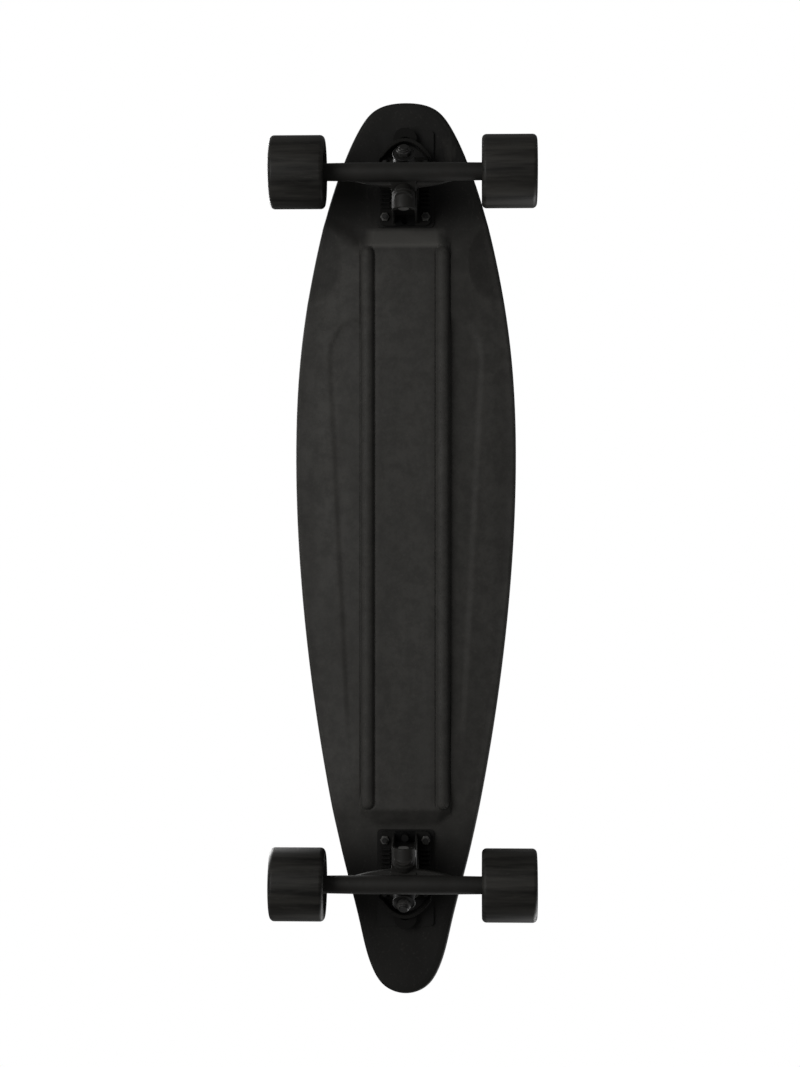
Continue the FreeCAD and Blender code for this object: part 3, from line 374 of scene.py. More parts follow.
def deck_material():
    """Moulded composite: fine grain, lengthwise mottling and scuffs. It is darker at nose and tail and
    in the wheel wells, and the front ramp carries painted light: a paler colour where light falls on its face."""
    n = Nodes("deck_shell")
    x, across_y = n.axis("X"), n.math("ABSOLUTE", n.axis("Y"), 0.0)
    past_tail = n.span(x, -0.325, -0.262, 0.0, 1.0)
    bright = n.math("MULTIPLY", past_tail, n.span(x, 0.294, 0.338, 1.0, 0.0))
    streak = n.span(n.noise(9.0, 4.0, stretch=(0.35, 1.6, 1.0)), 0.30, 0.70, 0.0, 1.0)
    middle = n.blend(streak, (0.0345, 0.0333, 0.0306), (0.0450, 0.0434, 0.0400))
    cloud = n.span(n.noise(70.0, 6.0, 0.75), 0.40, 0.60, 0.0, 0.75)
    middle = n.blend(cloud, middle, (0.0270, 0.0260, 0.0239))
    ends = n.blend(streak, (0.0078, 0.0075, 0.0067), (0.0128, 0.0123, 0.0111))
    colour = n.blend(bright, ends, middle)
    # Painted light: the front ramp's colour is made paler, standing in for the light that falls on its tilted
    # face.
    ramp_start = n.span(x, 0.302, 0.306, 0.0, 1.0)
    ramp_length = n.math("MULTIPLY", ramp_start, n.span(x, 0.320, 0.325, 1.0, 0.0))
    ramp_width = n.span(across_y, 0.032, 0.042, 1.0, 0.0)
    colour = n.blend(n.math("MULTIPLY", ramp_length, ramp_width), colour, (0.066, 0.064, 0.059))
    # Darker in the wheel wells: the colour blends half way to the ends' tone.
    (well_x, well_y), (half_x, half_y) = WELL_CENTRE, WELL_HALF
    along = n.span(x, (well_x - half_x) * MM, (well_x + half_x) * MM, -1.0, 1.0)
    inward = n.span(across_y, (well_y - half_y) * MM, well_y * MM, 1.0, 0.0)
    share = n.math("ADD", n.math("POWER", along, 2.0), n.math("MULTIPLY", inward, inward))
    colour = n.blend(n.span(share, 0.72, 1.12, 0.50, 0.0), colour, ends)
    specks = n.span(n.noise(420.0, 3.0, 0.6), 0.58, 0.72, 0.0, 0.16)
    colour = n.blend(specks, colour, (0.075, 0.071, 0.064))
    scuffs = n.span(n.noise(36.0, 6.0, 0.7, stretch=(0.25, 1.0, 1.0)), 0.62, 0.74, 0.0, 0.25)
    colour = n.blend(scuffs, colour, (0.062, 0.059, 0.053))
    worn = n.math("MULTIPLY", n.edges(0.51, 0.57), n.span(n.noise(90.0, 4.0), 0.4, 0.7, 0.0, 0.35))
    colour = n.blend(worn, colour, (0.085, 0.081, 0.074))
    weave = n.noise(1100.0, 2.0)
    slow = n.noise(26.0, 4.0, stretch=(0.5, 1.0, 1.0))
    normal = n.bump(weave, 0.25, 0.0002, n.bump(slow, 0.10, 0.0010))
    return n.surface(colour, n.span(slow, 0.3, 0.7, 0.62, 0.76), normal, specular=0.15)


def urethane_material():
    """Cast urethane: slightly glossy, with dusty streaks across the running surface."""
    n = Nodes("wheel_urethane")
    dust = n.span(n.noise(95.0, 5.0, 0.65, stretch=(1.0, 0.07, 1.0)), 0.36, 0.66, 0.0, 1.0)
    colour = n.blend(dust, (0.0045, 0.0042, 0.0036), (0.0275, 0.0262, 0.0232))
    scrapes = n.span(n.noise(260.0, 5.0, 0.65, stretch=(1.0, 0.12, 1.0)), 0.60, 0.72, 0.0, 0.55)
    colour = n.blend(scrapes, colour, (0.040, 0.038, 0.034))
    fine = n.noise(750.0, 3.0)
    normal = n.bump(fine, 0.16, 0.0002, n.bump(scrapes, 0.10, 0.0003))
    return n.surface(colour, n.span(dust, 0.0, 1.0, 0.42, 0.58), normal, specular=0.16)


def grip_material():
    """Silicon carbide grit in black resin."""
    n = Nodes("grip")
    cells = n.add("ShaderNodeTexVoronoi", feature="F1")
    cells.inputs["Scale"].default_value = 1500.0
    n.link(n.place, cells.inputs["Vector"])
    grit = n.span(cells.outputs["Distance"], 0.05, 0.6, 1.0, 0.0)
    sparkle = n.span(n.noise(2600.0, 2.0), 0.62, 0.75, 0.0, 1.0)
    tone = n.span(n.noise(11.0, 5.0), 0.35, 0.7, 0.0, 1.0)
    colour = n.blend(tone, (0.010, 0.010, 0.010), (0.019, 0.0188, 0.0182))
    colour = n.blend(sparkle, colour, (0.12, 0.12, 0.12))
    return n.surface(colour, n.span(sparkle, 0.0, 1.0, 0.85, 0.4), n.bump(grit, 0.7, 0.0005))


def board_material():
    """Circuit board: green mask with copper traces showing through."""
    n = Nodes("circuit_board")
    wave = n.add("ShaderNodeTexWave", wave_type="BANDS", bands_direction="DIAGONAL")
    wave.inputs["Scale"].default_value = 260.0
    wave.inputs["Distortion"].default_value = 6.0
    n.link(n.place, wave.inputs["Vector"])
    trace = n.span(wave.outputs["Fac"], 0.45, 0.55, 0.0, 1.0)
    colour = n.blend(trace, (0.010, 0.085, 0.032), (0.02, 0.15, 0.06))
    return n.surface(colour, n.span(trace, 0.0, 1.0, 0.28, 0.4), n.bump(trace, 0.2, 0.0001))


# Slot or look: dark tone, light tone, and what else differs from the maker's defaults.
MOULDED = {
    "lid_plastic": ((0.011, 0.011, 0.0105), (0.017, 0.017, 0.0165),
                    {"rough": (0.55, 0.62), "specular": 0.3, "wear": (0.045, 0.045, 0.045)}),
    "seal_rubber": ((0.0035, 0.0034, 0.0032), (0.0060, 0.0058, 0.0055),
                    {"rough": (0.65, 0.8), "specular": 0.10}),
    "cup_urethane": ((0.075, 0.073, 0.070), (0.110, 0.108, 0.104), {"rough": (0.4, 0.55)}),
    "riser_rubber": ((0.0075, 0.0072, 0.0066), (0.0105, 0.0102, 0.0094),
                     {"rough": (0.5, 0.68), "specular": 0.12}),
    "bushing_urethane": ((0.008, 0.008, 0.008), (0.014, 0.0135, 0.013),
                         {"rough": (0.34, 0.50), "grain": 400.0, "strength": 0.1, "specular": 0.2}),
    "core_plastic": ((0.014, 0.014, 0.014), (0.022, 0.022, 0.022), {"rough": (0.35, 0.5)}),
    "cell_wrap": ((0.02, 0.07, 0.15), (0.03, 0.10, 0.20), {"rough": (0.25, 0.35), "strength": 0.05}),
    "lead_silicone": ((0.20, 0.008, 0.008), (0.30, 0.015, 0.012), {"rough": (0.4, 0.55)}),
    "button_plastic": ((0.016, 0.016, 0.016), (0.024, 0.024, 0.024),
                       {"rough": (0.2, 0.32), "strength": 0.08}),
    "gauge_lens": ((0.008, 0.014, 0.010), (0.012, 0.020, 0.014),
                   {"rough": (0.08, 0.15), "strength": 0.03}),
}
METAL = {
    "black_steel": ((0.0065, 0.0063, 0.0058), (0.0130, 0.0126, 0.0118),
                    {"rough": (0.50, 0.64), "bare": 0.3, "specular": 0.3}),
    "dull_steel": ((0.045, 0.044, 0.041), (0.085, 0.083, 0.079), {"rough": (0.40, 0.55), "bare": 0.45}),
    "greasy_steel": ((0.009, 0.0088, 0.0082), (0.034, 0.033, 0.031),
                     {"rough": (0.52, 0.66), "bare": 0.3, "specular": 0.35}),
    "bright_steel": ((0.42, 0.41, 0.39), (0.62, 0.61, 0.60), {}),
    "rotor_metal": ((0.03, 0.03, 0.03), (0.06, 0.06, 0.06), {"rough": (0.28, 0.4)}),
    "magnet": ((0.4, 0.4, 0.4), (0.6, 0.6, 0.6), {"rough": (0.15, 0.25)}),
    "laminations": ((0.2, 0.2, 0.21), (0.34, 0.34, 0.35),
                    {"rough": (0.35, 0.5), "brushed": (1, 40, 1)}),
    "copper": ((0.42, 0.14, 0.05), (0.66, 0.27, 0.12), {"rough": (0.25, 0.35), "brushed": (1, 25, 1)}),
    "nickel": ((0.45, 0.43, 0.38), (0.62, 0.6, 0.55), {}),
    "spreader": ((0.5, 0.5, 0.5), (0.7, 0.7, 0.7), {"rough": (0.3, 0.4), "brushed": (30, 1, 1)}),
}


def make_materials():
    materials = {
        "deck_shell": deck_material(), "grip": grip_material(), "cast_black": cast_material(),
        "wheel_urethane": urethane_material(), "circuit_board": board_material(),
        "nut_steel": nut_material(),
    }
    for maker, table in ((moulded, MOULDED), (metal, METAL)):
        for name, (dark, light, settings) in table.items():
            materials[name] = maker(name, dark, light, **settings)
    return materials


MATERIALS = make_materials()


def dress(piece, slot, body=None, replaces=(), look=None):
    """Gives a piece the material of its slot, or of the look if one is named, parents it to its body and hides the
    CAD nodes it replaces.
    """
    piece.data.materials.clear()
    piece.data.materials.append(MATERIALS[look or slot])
    if body:
        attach(piece, body)
    if replaces:
        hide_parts(*replaces)
    return piece


def dress_cad_nodes():
    """Every CAD node takes the procedural material of its own slot."""
    for part in frame["record"]["subparts"]:
        node = frame["nodes"][part["node"]]
        for index in range(len(node.data.materials)):
            node.data.materials[index] = MATERIALS[part["material_slot"]]
        if not node.data.materials:
            node.data.materials.append(MATERIALS[part["material_slot"]])


# ---- deck --------------------------------------------------------------------------------
def closed_spline(points, samples):
    """A periodic cubic through the points, by chord length, sampled evenly between each pair."""
    p = np.array(points, float)
    n = len(p)
    h = np.linalg.norm(np.roll(p, -1, 0) - p, axis=1)
    a = np.zeros((n, n))
    rhs = np.zeros((n, 2))
    slope = (np.roll(p, -1, 0) - p) / h[:, None]
    for i in range(n):
        a[i, i - 1] = h[i - 1]
        a[i, i] = 2 * (h[i - 1] + h[i])
        a[i, (i + 1) % n] = h[i]
        rhs[i] = 6 * (slope[i] - slope[i - 1])
    m = np.linalg.solve(a, rhs)
    out = []
    for i in range(n):
        j = (i + 1) % n
        for k in range(samples):
            t = h[i] * k / samples
            r = h[i] - t
            out.append(m[i] * r ** 3 / (6 * h[i]) + m[j] * t ** 3 / (6 * h[i])
                       + (p[i] / h[i] - m[i] * h[i] / 6) * r + (p[j] / h[i] - m[j] * h[i] / 6) * t)
    return np.array(out)


def half_outline():
    """The left half of the outline as a fine polyline from tail to nose, with its inward normals."""
    right = [(x, -w) for x, w in OUTLINE[-2:0:-1]]
    samples = 60
    curve = closed_spline(OUTLINE + right, samples)
    half = curve[:(len(OUTLINE) - 1) * samples + 1]
    tangent = np.gradient(half, axis=0)
    tangent[0] = tangent[-1] = (0, 1)
    tangent[-1] = (0, -1)
    tangent /= np.linalg.norm(tangent, axis=1)[:, None]
    normal = np.stack([tangent[:, 1], -tangent[:, 0]], 1)
    return half, normal


def top_height(y):
    """The concave standing surface."""
    radius = ((WIDEST_HALF - FLAT_HALF) ** 2 + EDGE_RISE ** 2) / (2 * EDGE_RISE)
    out = np.clip(np.abs(y) - FLAT_HALF, 0, radius)
    return TOP_Z + radius - np.sqrt(radius ** 2 - out ** 2)


def ramp(a, b):
    """Which way and how steeply a plane rises between two plan points, from SPINE_Z to PAD_Z."""
    d = np.array(b, float) - np.array(a, float)
    return d / (d @ d) * (PAD_Z - SPINE_Z)


def spine_height(x, y):
    """The raised spine: a flat panel with planed facets at each end and steep sides."""
    y = np.abs(y)
    tail, nose = SPINE_X
    planes = [np.full_like(x, SPINE_Z), SPINE_Z + (y - SPINE_HALF) * SPINE_SIDE_SLOPE]
    for end, way in ((nose, 1), (tail, -1)):
        planes.append(SPINE_Z + (x - end) * way * (PAD_Z - SPINE_Z) / RAMP_LENGTH)
        facet = ramp((0.0, 0.0), (10.5, 7.0))
        planes.append(SPINE_Z + ((x - end) * way + 3.5) * facet[0] + (y - 40.5) * facet[1])
    height = planes[0]
    for plane in planes[1:]:
        height = soft_max(height, plane, 1.3)
    return height


def rib_height(x, y):
    """The two half-round ridges."""
    inside = RIB_RADIUS ** 2 - rib_distance(x, y) ** 2
    ridge = SPINE_Z + RIB_SINK - np.sqrt(np.clip(inside, 0, None))
    out_of_reach = SPINE_Z + 40
    return np.where(inside > 0, ridge, out_of_reach)


def rib_distance(x, y):
    """Plan distance from the nearer ridge's middle line."""
    tail, nose = RIB_X
    over = np.maximum(np.maximum(tail - x, x - nose), 0)
    return np.hypot(np.abs(y) - RIB_Y, over)


def foot_groove(x, y):
    """A fine parting groove round the foot of each ridge."""
    away = np.abs(rib_distance(x, y) - GROOVE_RADIUS)
    return GROOVE_HALF * np.clip(1 - away / GROOVE_HALF, 0, 1)


def hull_height(x, y):
    """The flared sides, with a long shallow recess beside each rib, and both ends rising."""
    across_y = np.abs(y)
    out = np.maximum(across_y - FLARE_START, 0)
    flare = SPINE_Z + FLARE_LIFT + out * FLARE_SLOPE
    nose_end = SPINE_Z + 3.0 + (x - 299 - 0.4 * out) * 0.5
    tail_end = SPINE_Z + 3.0 + (-236 - x) * 0.2
    bow_length, bow_width = RECESS_BOW
    bow = np.sqrt(np.clip(1 - ((x - RECESS_BOW_X) / bow_length) ** 2, 0, 1))
    recess_half = np.where(x < RECESS_BOW_X, 67.5 + 0.05 * x, FLARE_START + bow_width * bow)
    tail, nose = RECESS_X
    length = smoothstep(nose, nose - 8, x) * smoothstep(tail, tail + 100, x)
    depth = RECESS_DEPTH + 0.04 * np.clip(recess_half - across_y, 0, 30)
    width = 1 - smoothstep(recess_half - RECESS_EDGE, recess_half + RECESS_EDGE, across_y)
    return soft_max(soft_max(flare + length * depth * width, nose_end, 4.5), tail_end, 3.0)


def well_depth(x, y):
    """The wheel wells: shallow hollows scooped out of the front rails."""
    share = (((x - WELL_CENTRE[0]) / WELL_HALF[0]) ** 2
             + ((np.abs(y) - WELL_CENTRE[1]) / WELL_HALF[1]) ** 2)
    return WELL_DEPTH * np.clip(1 - share, 0, 1) ** 0.6


def under_height(x, y):
    """The underside of the deck."""
    plate = top_height(y) - EDGE_THICKNESS - 1 + smoothstep(36, 56, np.abs(y))
    height = soft_min(plate, hull_height(x, y), 3.0)
    height = soft_min(height, spine_height(x, y), 1.6)
    height = np.minimum(height, rib_height(x, y)) + foot_groove(x, y)
    return height + well_depth(x, y)


def deck_rows():
    """Indices of the outline samples to use: even along the board, close together at the ramps."""
    half, normal = half_outline()
    chosen = [0]
    for i in range(1, len(half) - 1):
        x = half[i, 0]
        near = min(abs(x - SPINE_X[0] + 8), abs(x - SPINE_X[1] - 8)) < 26 or abs(x) > 436
        step = 1.1 if near else 3.2
        if np.linalg.norm(half[i] - half[chosen[-1]]) >= step:
            chosen.append(i)
    chosen.append(len(half) - 1)
    return half[chosen], normal[chosen]


def across():
    """Shares of the inner width: fine over the ribs and the rebate's edge, coarse elsewhere."""
    inner = list(np.linspace(0, 29.5, 7))
    fine = list(np.arange(29.8, 50.0, 0.4)) + [REBATE_HALF, REBATE_HALF + 0.06]
    return sorted(inner + fine + [FLAT_HALF])


def make_deck():
    """The moulded shell: underside, top and rounded rim as one closed mesh."""
    edge, normal = deck_rows()
    stations = across()
    outer_steps = 32
    rows = []
    for (x, y), (nx, ny) in zip(edge, normal):
        ix, iy = x + nx * RIM, max(y + ny * RIM, 0.0)
        inner = min(1.0, iy / (FLAT_HALF + 12.0)) * FLAT_HALF
        half = [s / FLAT_HALF * inner for s in stations]
        half += [inner + (iy - inner) * (k + 1) / outer_steps for k in range(outer_steps)]
        rows.append((ix, [-v for v in half[:0:-1]] + half))
    count = len(rows[0][1])
    grid_x = np.array([[r[0]] * count for r in rows])
    grid_y = np.array([r[1] for r in rows])
    low = under_height(grid_x, grid_y)
    high = top_height(grid_y) - 0.2
    in_rebate = (np.abs(grid_y) <= REBATE_HALF + 0.01) & (grid_x > REBATE_X[0]) & (grid_x < REBATE_X[1])
    high = np.where(in_rebate, LID_SEAT_Z - 0.05, high)
    vertices, faces = [], []

    def add_grid(z):
        start = len(vertices)
        vertices.extend(zip(grid_x.ravel(), grid_y.ravel(), z.ravel()))
        for i in range(len(rows) - 1):
            for k in range(count - 1):
                a = start + i * count + k
                faces.append((a, a + 1, a + count + 1, a + count))
        return start

    low_start, high_start = add_grid(low), add_grid(high)
    for sign in (1, -1):
        column = count - 1 if sign > 0 else 0
        previous = None
        for i, ((x, y), (nx, ny)) in enumerate(zip(edge, normal)):
            bottom, top = low[i, column], high[i, column]
            section = [low_start + i * count + column]
            for inset, z in rim_section(bottom, top):
                section.append(len(vertices))
                vertices.append((x + nx * inset, sign * (y + ny * inset), z))
            section.append(high_start + i * count + column)
            if previous:
                for a, b, c, d in zip(previous, previous[1:], section[1:], section):
                    faces.append((a, b, c, d))
            previous = section
    piece = mesh_object("deck_shell", vertices, faces, 40.0)
    return dress(piece, "deck_shell", "board", ["deck"])


def rim_section(bottom, top):
    """The board's edge between the underside and the top, as (inset, height) pairs."""
    big, small = 4.5, 1.6
    points = [(6.0, bottom + 0.15), (big + 0.6, bottom + 0.3)]
    for i in range(8):
        a = math.radians(90 * i / 7)
        points.append((big * (1 - math.sin(a)), bottom + 0.3 + big * (1 - math.cos(a))))
    points.append((0.0, top - small))
    for i in range(1, 5):
        a = math.radians(90 * i / 4)
        points.append((small * (1 - math.cos(a)), top - small + small * math.sin(a)))
    return points


# ---- trucks ------------------------------------------------------------------------------
class Truck:
    """One truck's axes, read from its steering joint."""

    def __init__(self, end, way):
        joint = JOINTS[end + "_steer"]
        self.end, self.way = end, way
        self.ring = Vector(joint["pos_m"]) / MM
        self.pivot = Vector(joint["axis"])
        self.king = Vector((-self.pivot.z, 0, self.pivot.x)) * way
        self.axle_x = JOINTS[end + "_left_spin"]["pos_m"][0] / MM

    def at(self, p, k):
        return self.ring + self.pivot * p + self.king * k


def apply_modifiers(piece):
    graph = bpy.context.evaluated_depsgraph_get()
    mesh = bpy.data.meshes.new_from_object(piece.evaluated_get(graph))
    piece.modifiers.clear()
    piece.data = mesh


def cast_copy(node, slot, body, voxel=0.45, passes=5, keep=0.35):
    """A CAD casting with its corners rounded over, as a foundry leaves them."""
    source = frame["nodes"][node]
    piece = bpy.data.objects.new(node + "_cast", source.data.copy())
    bpy.context.scene.collection.objects.link(piece)
    remesh = piece.modifiers.new("Remesh", "REMESH")
    remesh.mode = "VOXEL"
    remesh.voxel_size = voxel * MM
    smooth = piece.modifiers.new("Smooth", "SMOOTH")
    smooth.factor = 0.5
    smooth.iterations = passes
    thin = piece.modifiers.new("Thin", "DECIMATE")
    thin.ratio = keep
    apply_modifiers(piece)
    piece.data.polygons.foreach_set("use_smooth", [True] * len(piece.data.polygons))
    return dress(piece, slot, body, [node])


def softened(node, width):
    """A copy of a CAD piece with its sharp edges broken, as a mould or a lathe leaves them."""
    slot = next(p["material_slot"] for p in frame["record"]["subparts"] if p["node"] == node)
    bodies = frame["record"]["behaviour"]["bodies"]
    body = next(name for name, members in bodies.items() if node in members)
    bm = bmesh.new()
    bm.from_mesh(frame["nodes"][node].data)
    bmesh.ops.remove_doubles(bm, verts=bm.verts, dist=0.002 * MM)
    bmesh.ops.dissolve_limit(bm, angle_limit=math.radians(0.5), verts=bm.verts, edges=bm.edges)
    limit = math.radians(30)
    sharp = [e for e in bm.edges if len(e.link_faces) == 2 and e.calc_face_angle(0.0) > limit]
    bmesh.ops.bevel(bm, geom=sharp, offset=width * MM, offset_type="OFFSET", segments=2, profile=0.5,
                    affect="EDGES", clamp_overlap=True)
    bmesh.ops.recalc_face_normals(bm, faces=bm.faces)
    finish_shading(bm, 50.0)
    mesh = bpy.data.meshes.new(node + "_soft")
    bm.to_mesh(mesh)
    bm.free()
    piece = bpy.data.objects.new(node + "_soft", mesh)
    bpy.context.scene.collection.objects.link(piece)
    weigh = piece.modifiers.new("Weigh", "WEIGHTED_NORMAL")
    weigh.keep_sharp = True
    apply_modifiers(piece)
    return dress(piece, slot, body, [node])


def socket_screw(name, place, head, radius, length, socket, depth, segments=48):
    """A countersunk screw seen from above, with a hexagonal socket of the given width over flats."""
    x, y, top = place
    cone = head - radius
    corner = socket / math.sqrt(3)
    mouth = corner + 0.15 if corner > socket / 2 + 0.3 else socket / 2 + 0.35
    rings = [
        (socket / 2, -depth, True), (socket / 2, -0.15, True), (mouth, 0.0, False),
        (head - 0.15, 0.0, False), (head, -0.15, False),
        (radius, -cone, False), (radius, -length, False),
    ]
    vertices = []
    for r, z, hexed in rings:
        for i in range(segments):
            angle = 2 * math.pi * i / segments
            reach = r / math.cos((angle + math.pi / 6) % (math.pi / 3) - math.pi / 6) if hexed else r
            vertices.append((x + reach * math.cos(angle), y + reach * math.sin(angle), top + z))
    faces = [tuple(range(segments))[::-1]]
    for k in range(len(rings) - 1):
        for i in range(segments):
            j = (i + 1) % segments
            low, high = k * segments, (k + 1) * segments
            faces.append((low + i, low + j, high + j, high + i))
    last = (len(rings) - 1) * segments
    faces.append(tuple(range(last, last + segments)))
    return mesh_object(name, vertices, faces)


def make_deck_screws(trucks):
    """The socket screws in the standing surface: eight truck bolts and the lid's and panel's screws."""
    bolts, screws = [], []
    for truck in trucks:
        for u in BOLT_U:
            for y in BOLT_Y:
                place = (truck.axle_x + truck.way * u, y, TOP_Z - 0.1)
                bolts.append(socket_screw("b", place, 4.8, 2.4, 28.0, 3.0, 1.9))
    for x in LID_SCREW_X:
        for y in LID_SCREW_Y:
            screws.append(socket_screw("s", (x, y, TOP_Z - 0.4), 2.8, 1.5, 7.6, 2.0, 1.1, 36))
    dress(join("truck_socket_bolts", bolts), "black_steel", "board", ["truck_bolts"])
    dress(join("lid_socket_screws", screws), "black_steel", "board", ["lid_screws"])


def hex_nut(name, flats, bore, base, axis, height, collar=0.0):
    """A chamfered hexagonal nut, with a locking collar if asked for."""
    full = flats / math.sqrt(3)
    washer_face = flats * 0.47
    chamfer = (full - washer_face) * 0.5
    profile = [(bore, 0.0), (washer_face, 0.0), (washer_face, 0.25), (full, 0.25 + chamfer),
               (full, height - chamfer), (washer_face, height)]
    if collar:
        lip = washer_face - 0.5
        profile += [(lip, height), (lip, height + collar - 0.6)]
        profile += arc((lip - 0.6, height + collar - 0.6), 0.6, 0, 90, 4)
        step = height + collar * 0.4
        profile += [(bore + 0.4, height + collar), (bore + 0.4, step), (bore, step)]
    else:
        profile += [(bore, height)]
    return turned(name, profile, base, axis, 96, flats, bore_radius=washer_face)


def stud(name, radius, base, axis, length):
    """A threaded end: fine ridges and a chamfered tip."""
    pitch = 1.0
    profile = [(0.0, 0.0), (radius, 0.0)]
    turns = int(length / pitch) - 1
    for i in range(turns):
        z = pitch * (i + 0.5)
        profile += [(radius, z), (radius - 0.32, z + pitch * 0.5)]
    profile += [(radius, length - 0.7), (radius - 0.6, length), (0.0, length)]
    return turned(name, profile, base, axis, 64, closed=False)


def make_bushings(truck):
    """Two urethane bushings: a waisted barrel on the board side and a cone on the road side."""
    bore, radius = BUSHING_BORE, BUSHING_RADIUS
    low, high = BARREL_SPAN
    middle = (low + high) / 2
    barrel = [(bore, low), (radius - LIP, low)] + arc((radius - LIP, low + LIP), LIP, -90, 0, 4)
    for angle in range(-90, 91, 12):
        barrel.append((radius - 1.2 * math.cos(math.radians(angle)), middle + 4.4 * angle / 90))
    barrel += arc((radius - LIP, high - LIP), LIP, 0, 90, 4) + [(bore, high)]
    piece = turned(truck.end + "_barrel_bushing", barrel, truck.ring, truck.king)
    dress(piece, "bushing_urethane", "board", [truck.end + "_board_bushing"])
    low, high = CONE_SPAN
    cone = [(bore, low), (radius - LIP, low)] + arc((radius - LIP, low + LIP), LIP, -90, 0, 4)
    cone += arc((CONE_TOP_RADIUS - LIP, high - LIP), LIP, 0, 90, 4) + [(bore, high)]
    piece = turned(truck.end + "_cone_bushing", cone, truck.ring, truck.king)
    dress(piece, "bushing_urethane", "board", [truck.end + "_road_bushing"])


def washer_profile(radius, low):
    """A pressed cup washer: a flat floor and a rolled rim standing up round it."""
    profile = [(4.8, low), (radius - 0.7, low)] + arc((radius - 0.7, low + 0.7), 0.7, -90, 0, 4)
    profile += arc((radius - 0.5, low + 1.5), 0.5, 0, 180, 6)
    return profile + [(radius - 1.3, low + 1.25), (4.8, low + 1.2)]


def make_kingpin_hardware(trucks):
    """Cup washers, kingpins and their lock nuts."""
    washers, nuts, pins = [], [], []
    for truck in trucks:
        washers.append(turned("w", washer_profile(13.6, -21.5), truck.ring, truck.king))
        washers.append(turned("w", washer_profile(11.4, 18.5), truck.ring, truck.king))
        nuts.append(hex_nut("n", WIDE_NUT_FLATS, 4.72, truck.at(0, 19.7), truck.king, 5.6, 2.0))
        pins.append(stud("p", KINGPIN_RADIUS, truck.at(0, 19.8), truck.king, 8.7))
        shank = [(0, 0), (KINGPIN_RADIUS, 0), (KINGPIN_RADIUS, 49.8), (0, 49.8)]
        pins.append(turned("p", shank, truck.at(0, -30), truck.king, 64, closed=False))
        head = [(0, 0), (6.7, 0), (8.2, 0.8), (8.2, 6.0), (0, 6.0)]
        pins.append(turned("p", head, truck.at(0, -36), truck.king, 96, 14.2, closed=False))
    dress(join("kingpin_washers", washers), "black_steel", "board", ["cup_washers"])
    dress(join("kingpin_lock_nuts", nuts), "dull_steel", "board", ["kingpin_nuts"], "greasy_steel")
    dress(join("kingpin_bolts", pins), "black_steel", "board", ["kingpins"])


def make_truck_nuts(trucks):
    """Lock nuts and bolt tips on the road side of both baseplates."""
    nuts = []
    for truck in trucks:
        for u in BOLT_U:
            for y in BOLT_Y:
                base = (truck.axle_x + truck.way * u, y, NUT_SEAT_Z)
                nuts.append(hex_nut("n", TRUCK_NUT_FLATS, 2.42, base, (0, 0, -1), 3.4, 1.2))
    dress(join("truck_lock_nuts", nuts), "dull_steel", "board", ["truck_nuts"], "nut_steel")


# ---- wheels ------------------------------------------------------------------------------
def tread_profile():
    """The running surface between the two side faces, with rounded lips."""
    low, high = WHEEL_FACES
    r, lip = WHEEL_RADIUS - 0.01, TREAD_LIP
    return arc((r - lip, low + lip), lip, -90, 0, 10) + arc((r - lip, high - lip), lip, 0, 90, 10)


def plain_tyre_profile():
    """A front wheel's urethane, cast over its plastic core."""
    low, high = WHEEL_FACES
    profile = [(17.05, 89.2), (18.0, 87.0)] + arc((24.5, 82.0), 3.0, 215, 270, 5)
    profile += [(29.0, low + 0.6), (30.0, low + 0.1)] + tread_profile()
    profile += [(30.0, high - 0.1), (29.0, high - 0.5), (25.2, high - 2.2)]
    profile += [(24.2, high - 3.4), (18.8, 118.6), (17.9, 117.6), (17.05, 117.4)]
    return profile


def motor_tyre_profile():
    """A rear wheel's urethane, a sleeve over the motor's can."""
    low, high = WHEEL_FACES
    profile = [(27.48, 79.6), (28.2, low + 1.0), (29.4, low + 0.1)] + tread_profile()
    profile += [(29.6, high - 0.1), (28.4, high - 0.4), (25.1, 122.4), (25.0, 120.1), (27.48, 120.1)]
    return profile


def make_wheels():
    """The urethane of all four wheels. The rear ones are hollowed out for their motors."""
    for end in ("front", "rear"):
        profile = plain_tyre_profile() if end == "front" else motor_tyre_profile()
        for side, sign in (("left", 1), ("right", -1)):
            spin = JOINTS[f"{end}_{side}_spin"]
            centre = Vector(spin["pos_m"]) / MM
            body = spin["child"]
            tyre = turned(f"{end}_{side}_urethane", profile, centre, (0, sign, 0), 144)
            dress(tyre, "wheel_urethane", body, [f"{end}_{side}_tyre"])


def make_axle_hardware():
    """A lock nut at each end of both axles."""
    flats_height, collar = 6.0, 2.5
    for end, start in (("front", 116.0), ("rear", 121.0)):
        centre = Vector(JOINTS[end + "_left_spin"]["pos_m"]) / MM
        nuts = []
        for sign in (1, -1):
            base = centre + Vector((0, sign * start, 0))
            nuts.append(hex_nut("n", WIDE_NUT_FLATS, 3.99, base, (0, sign, 0), flats_height, collar))
        piece = join(end + "_axle_lock_nuts", nuts)
        dress(piece, "bright_steel", end + "_hanger", [end + "_axle_nuts"])


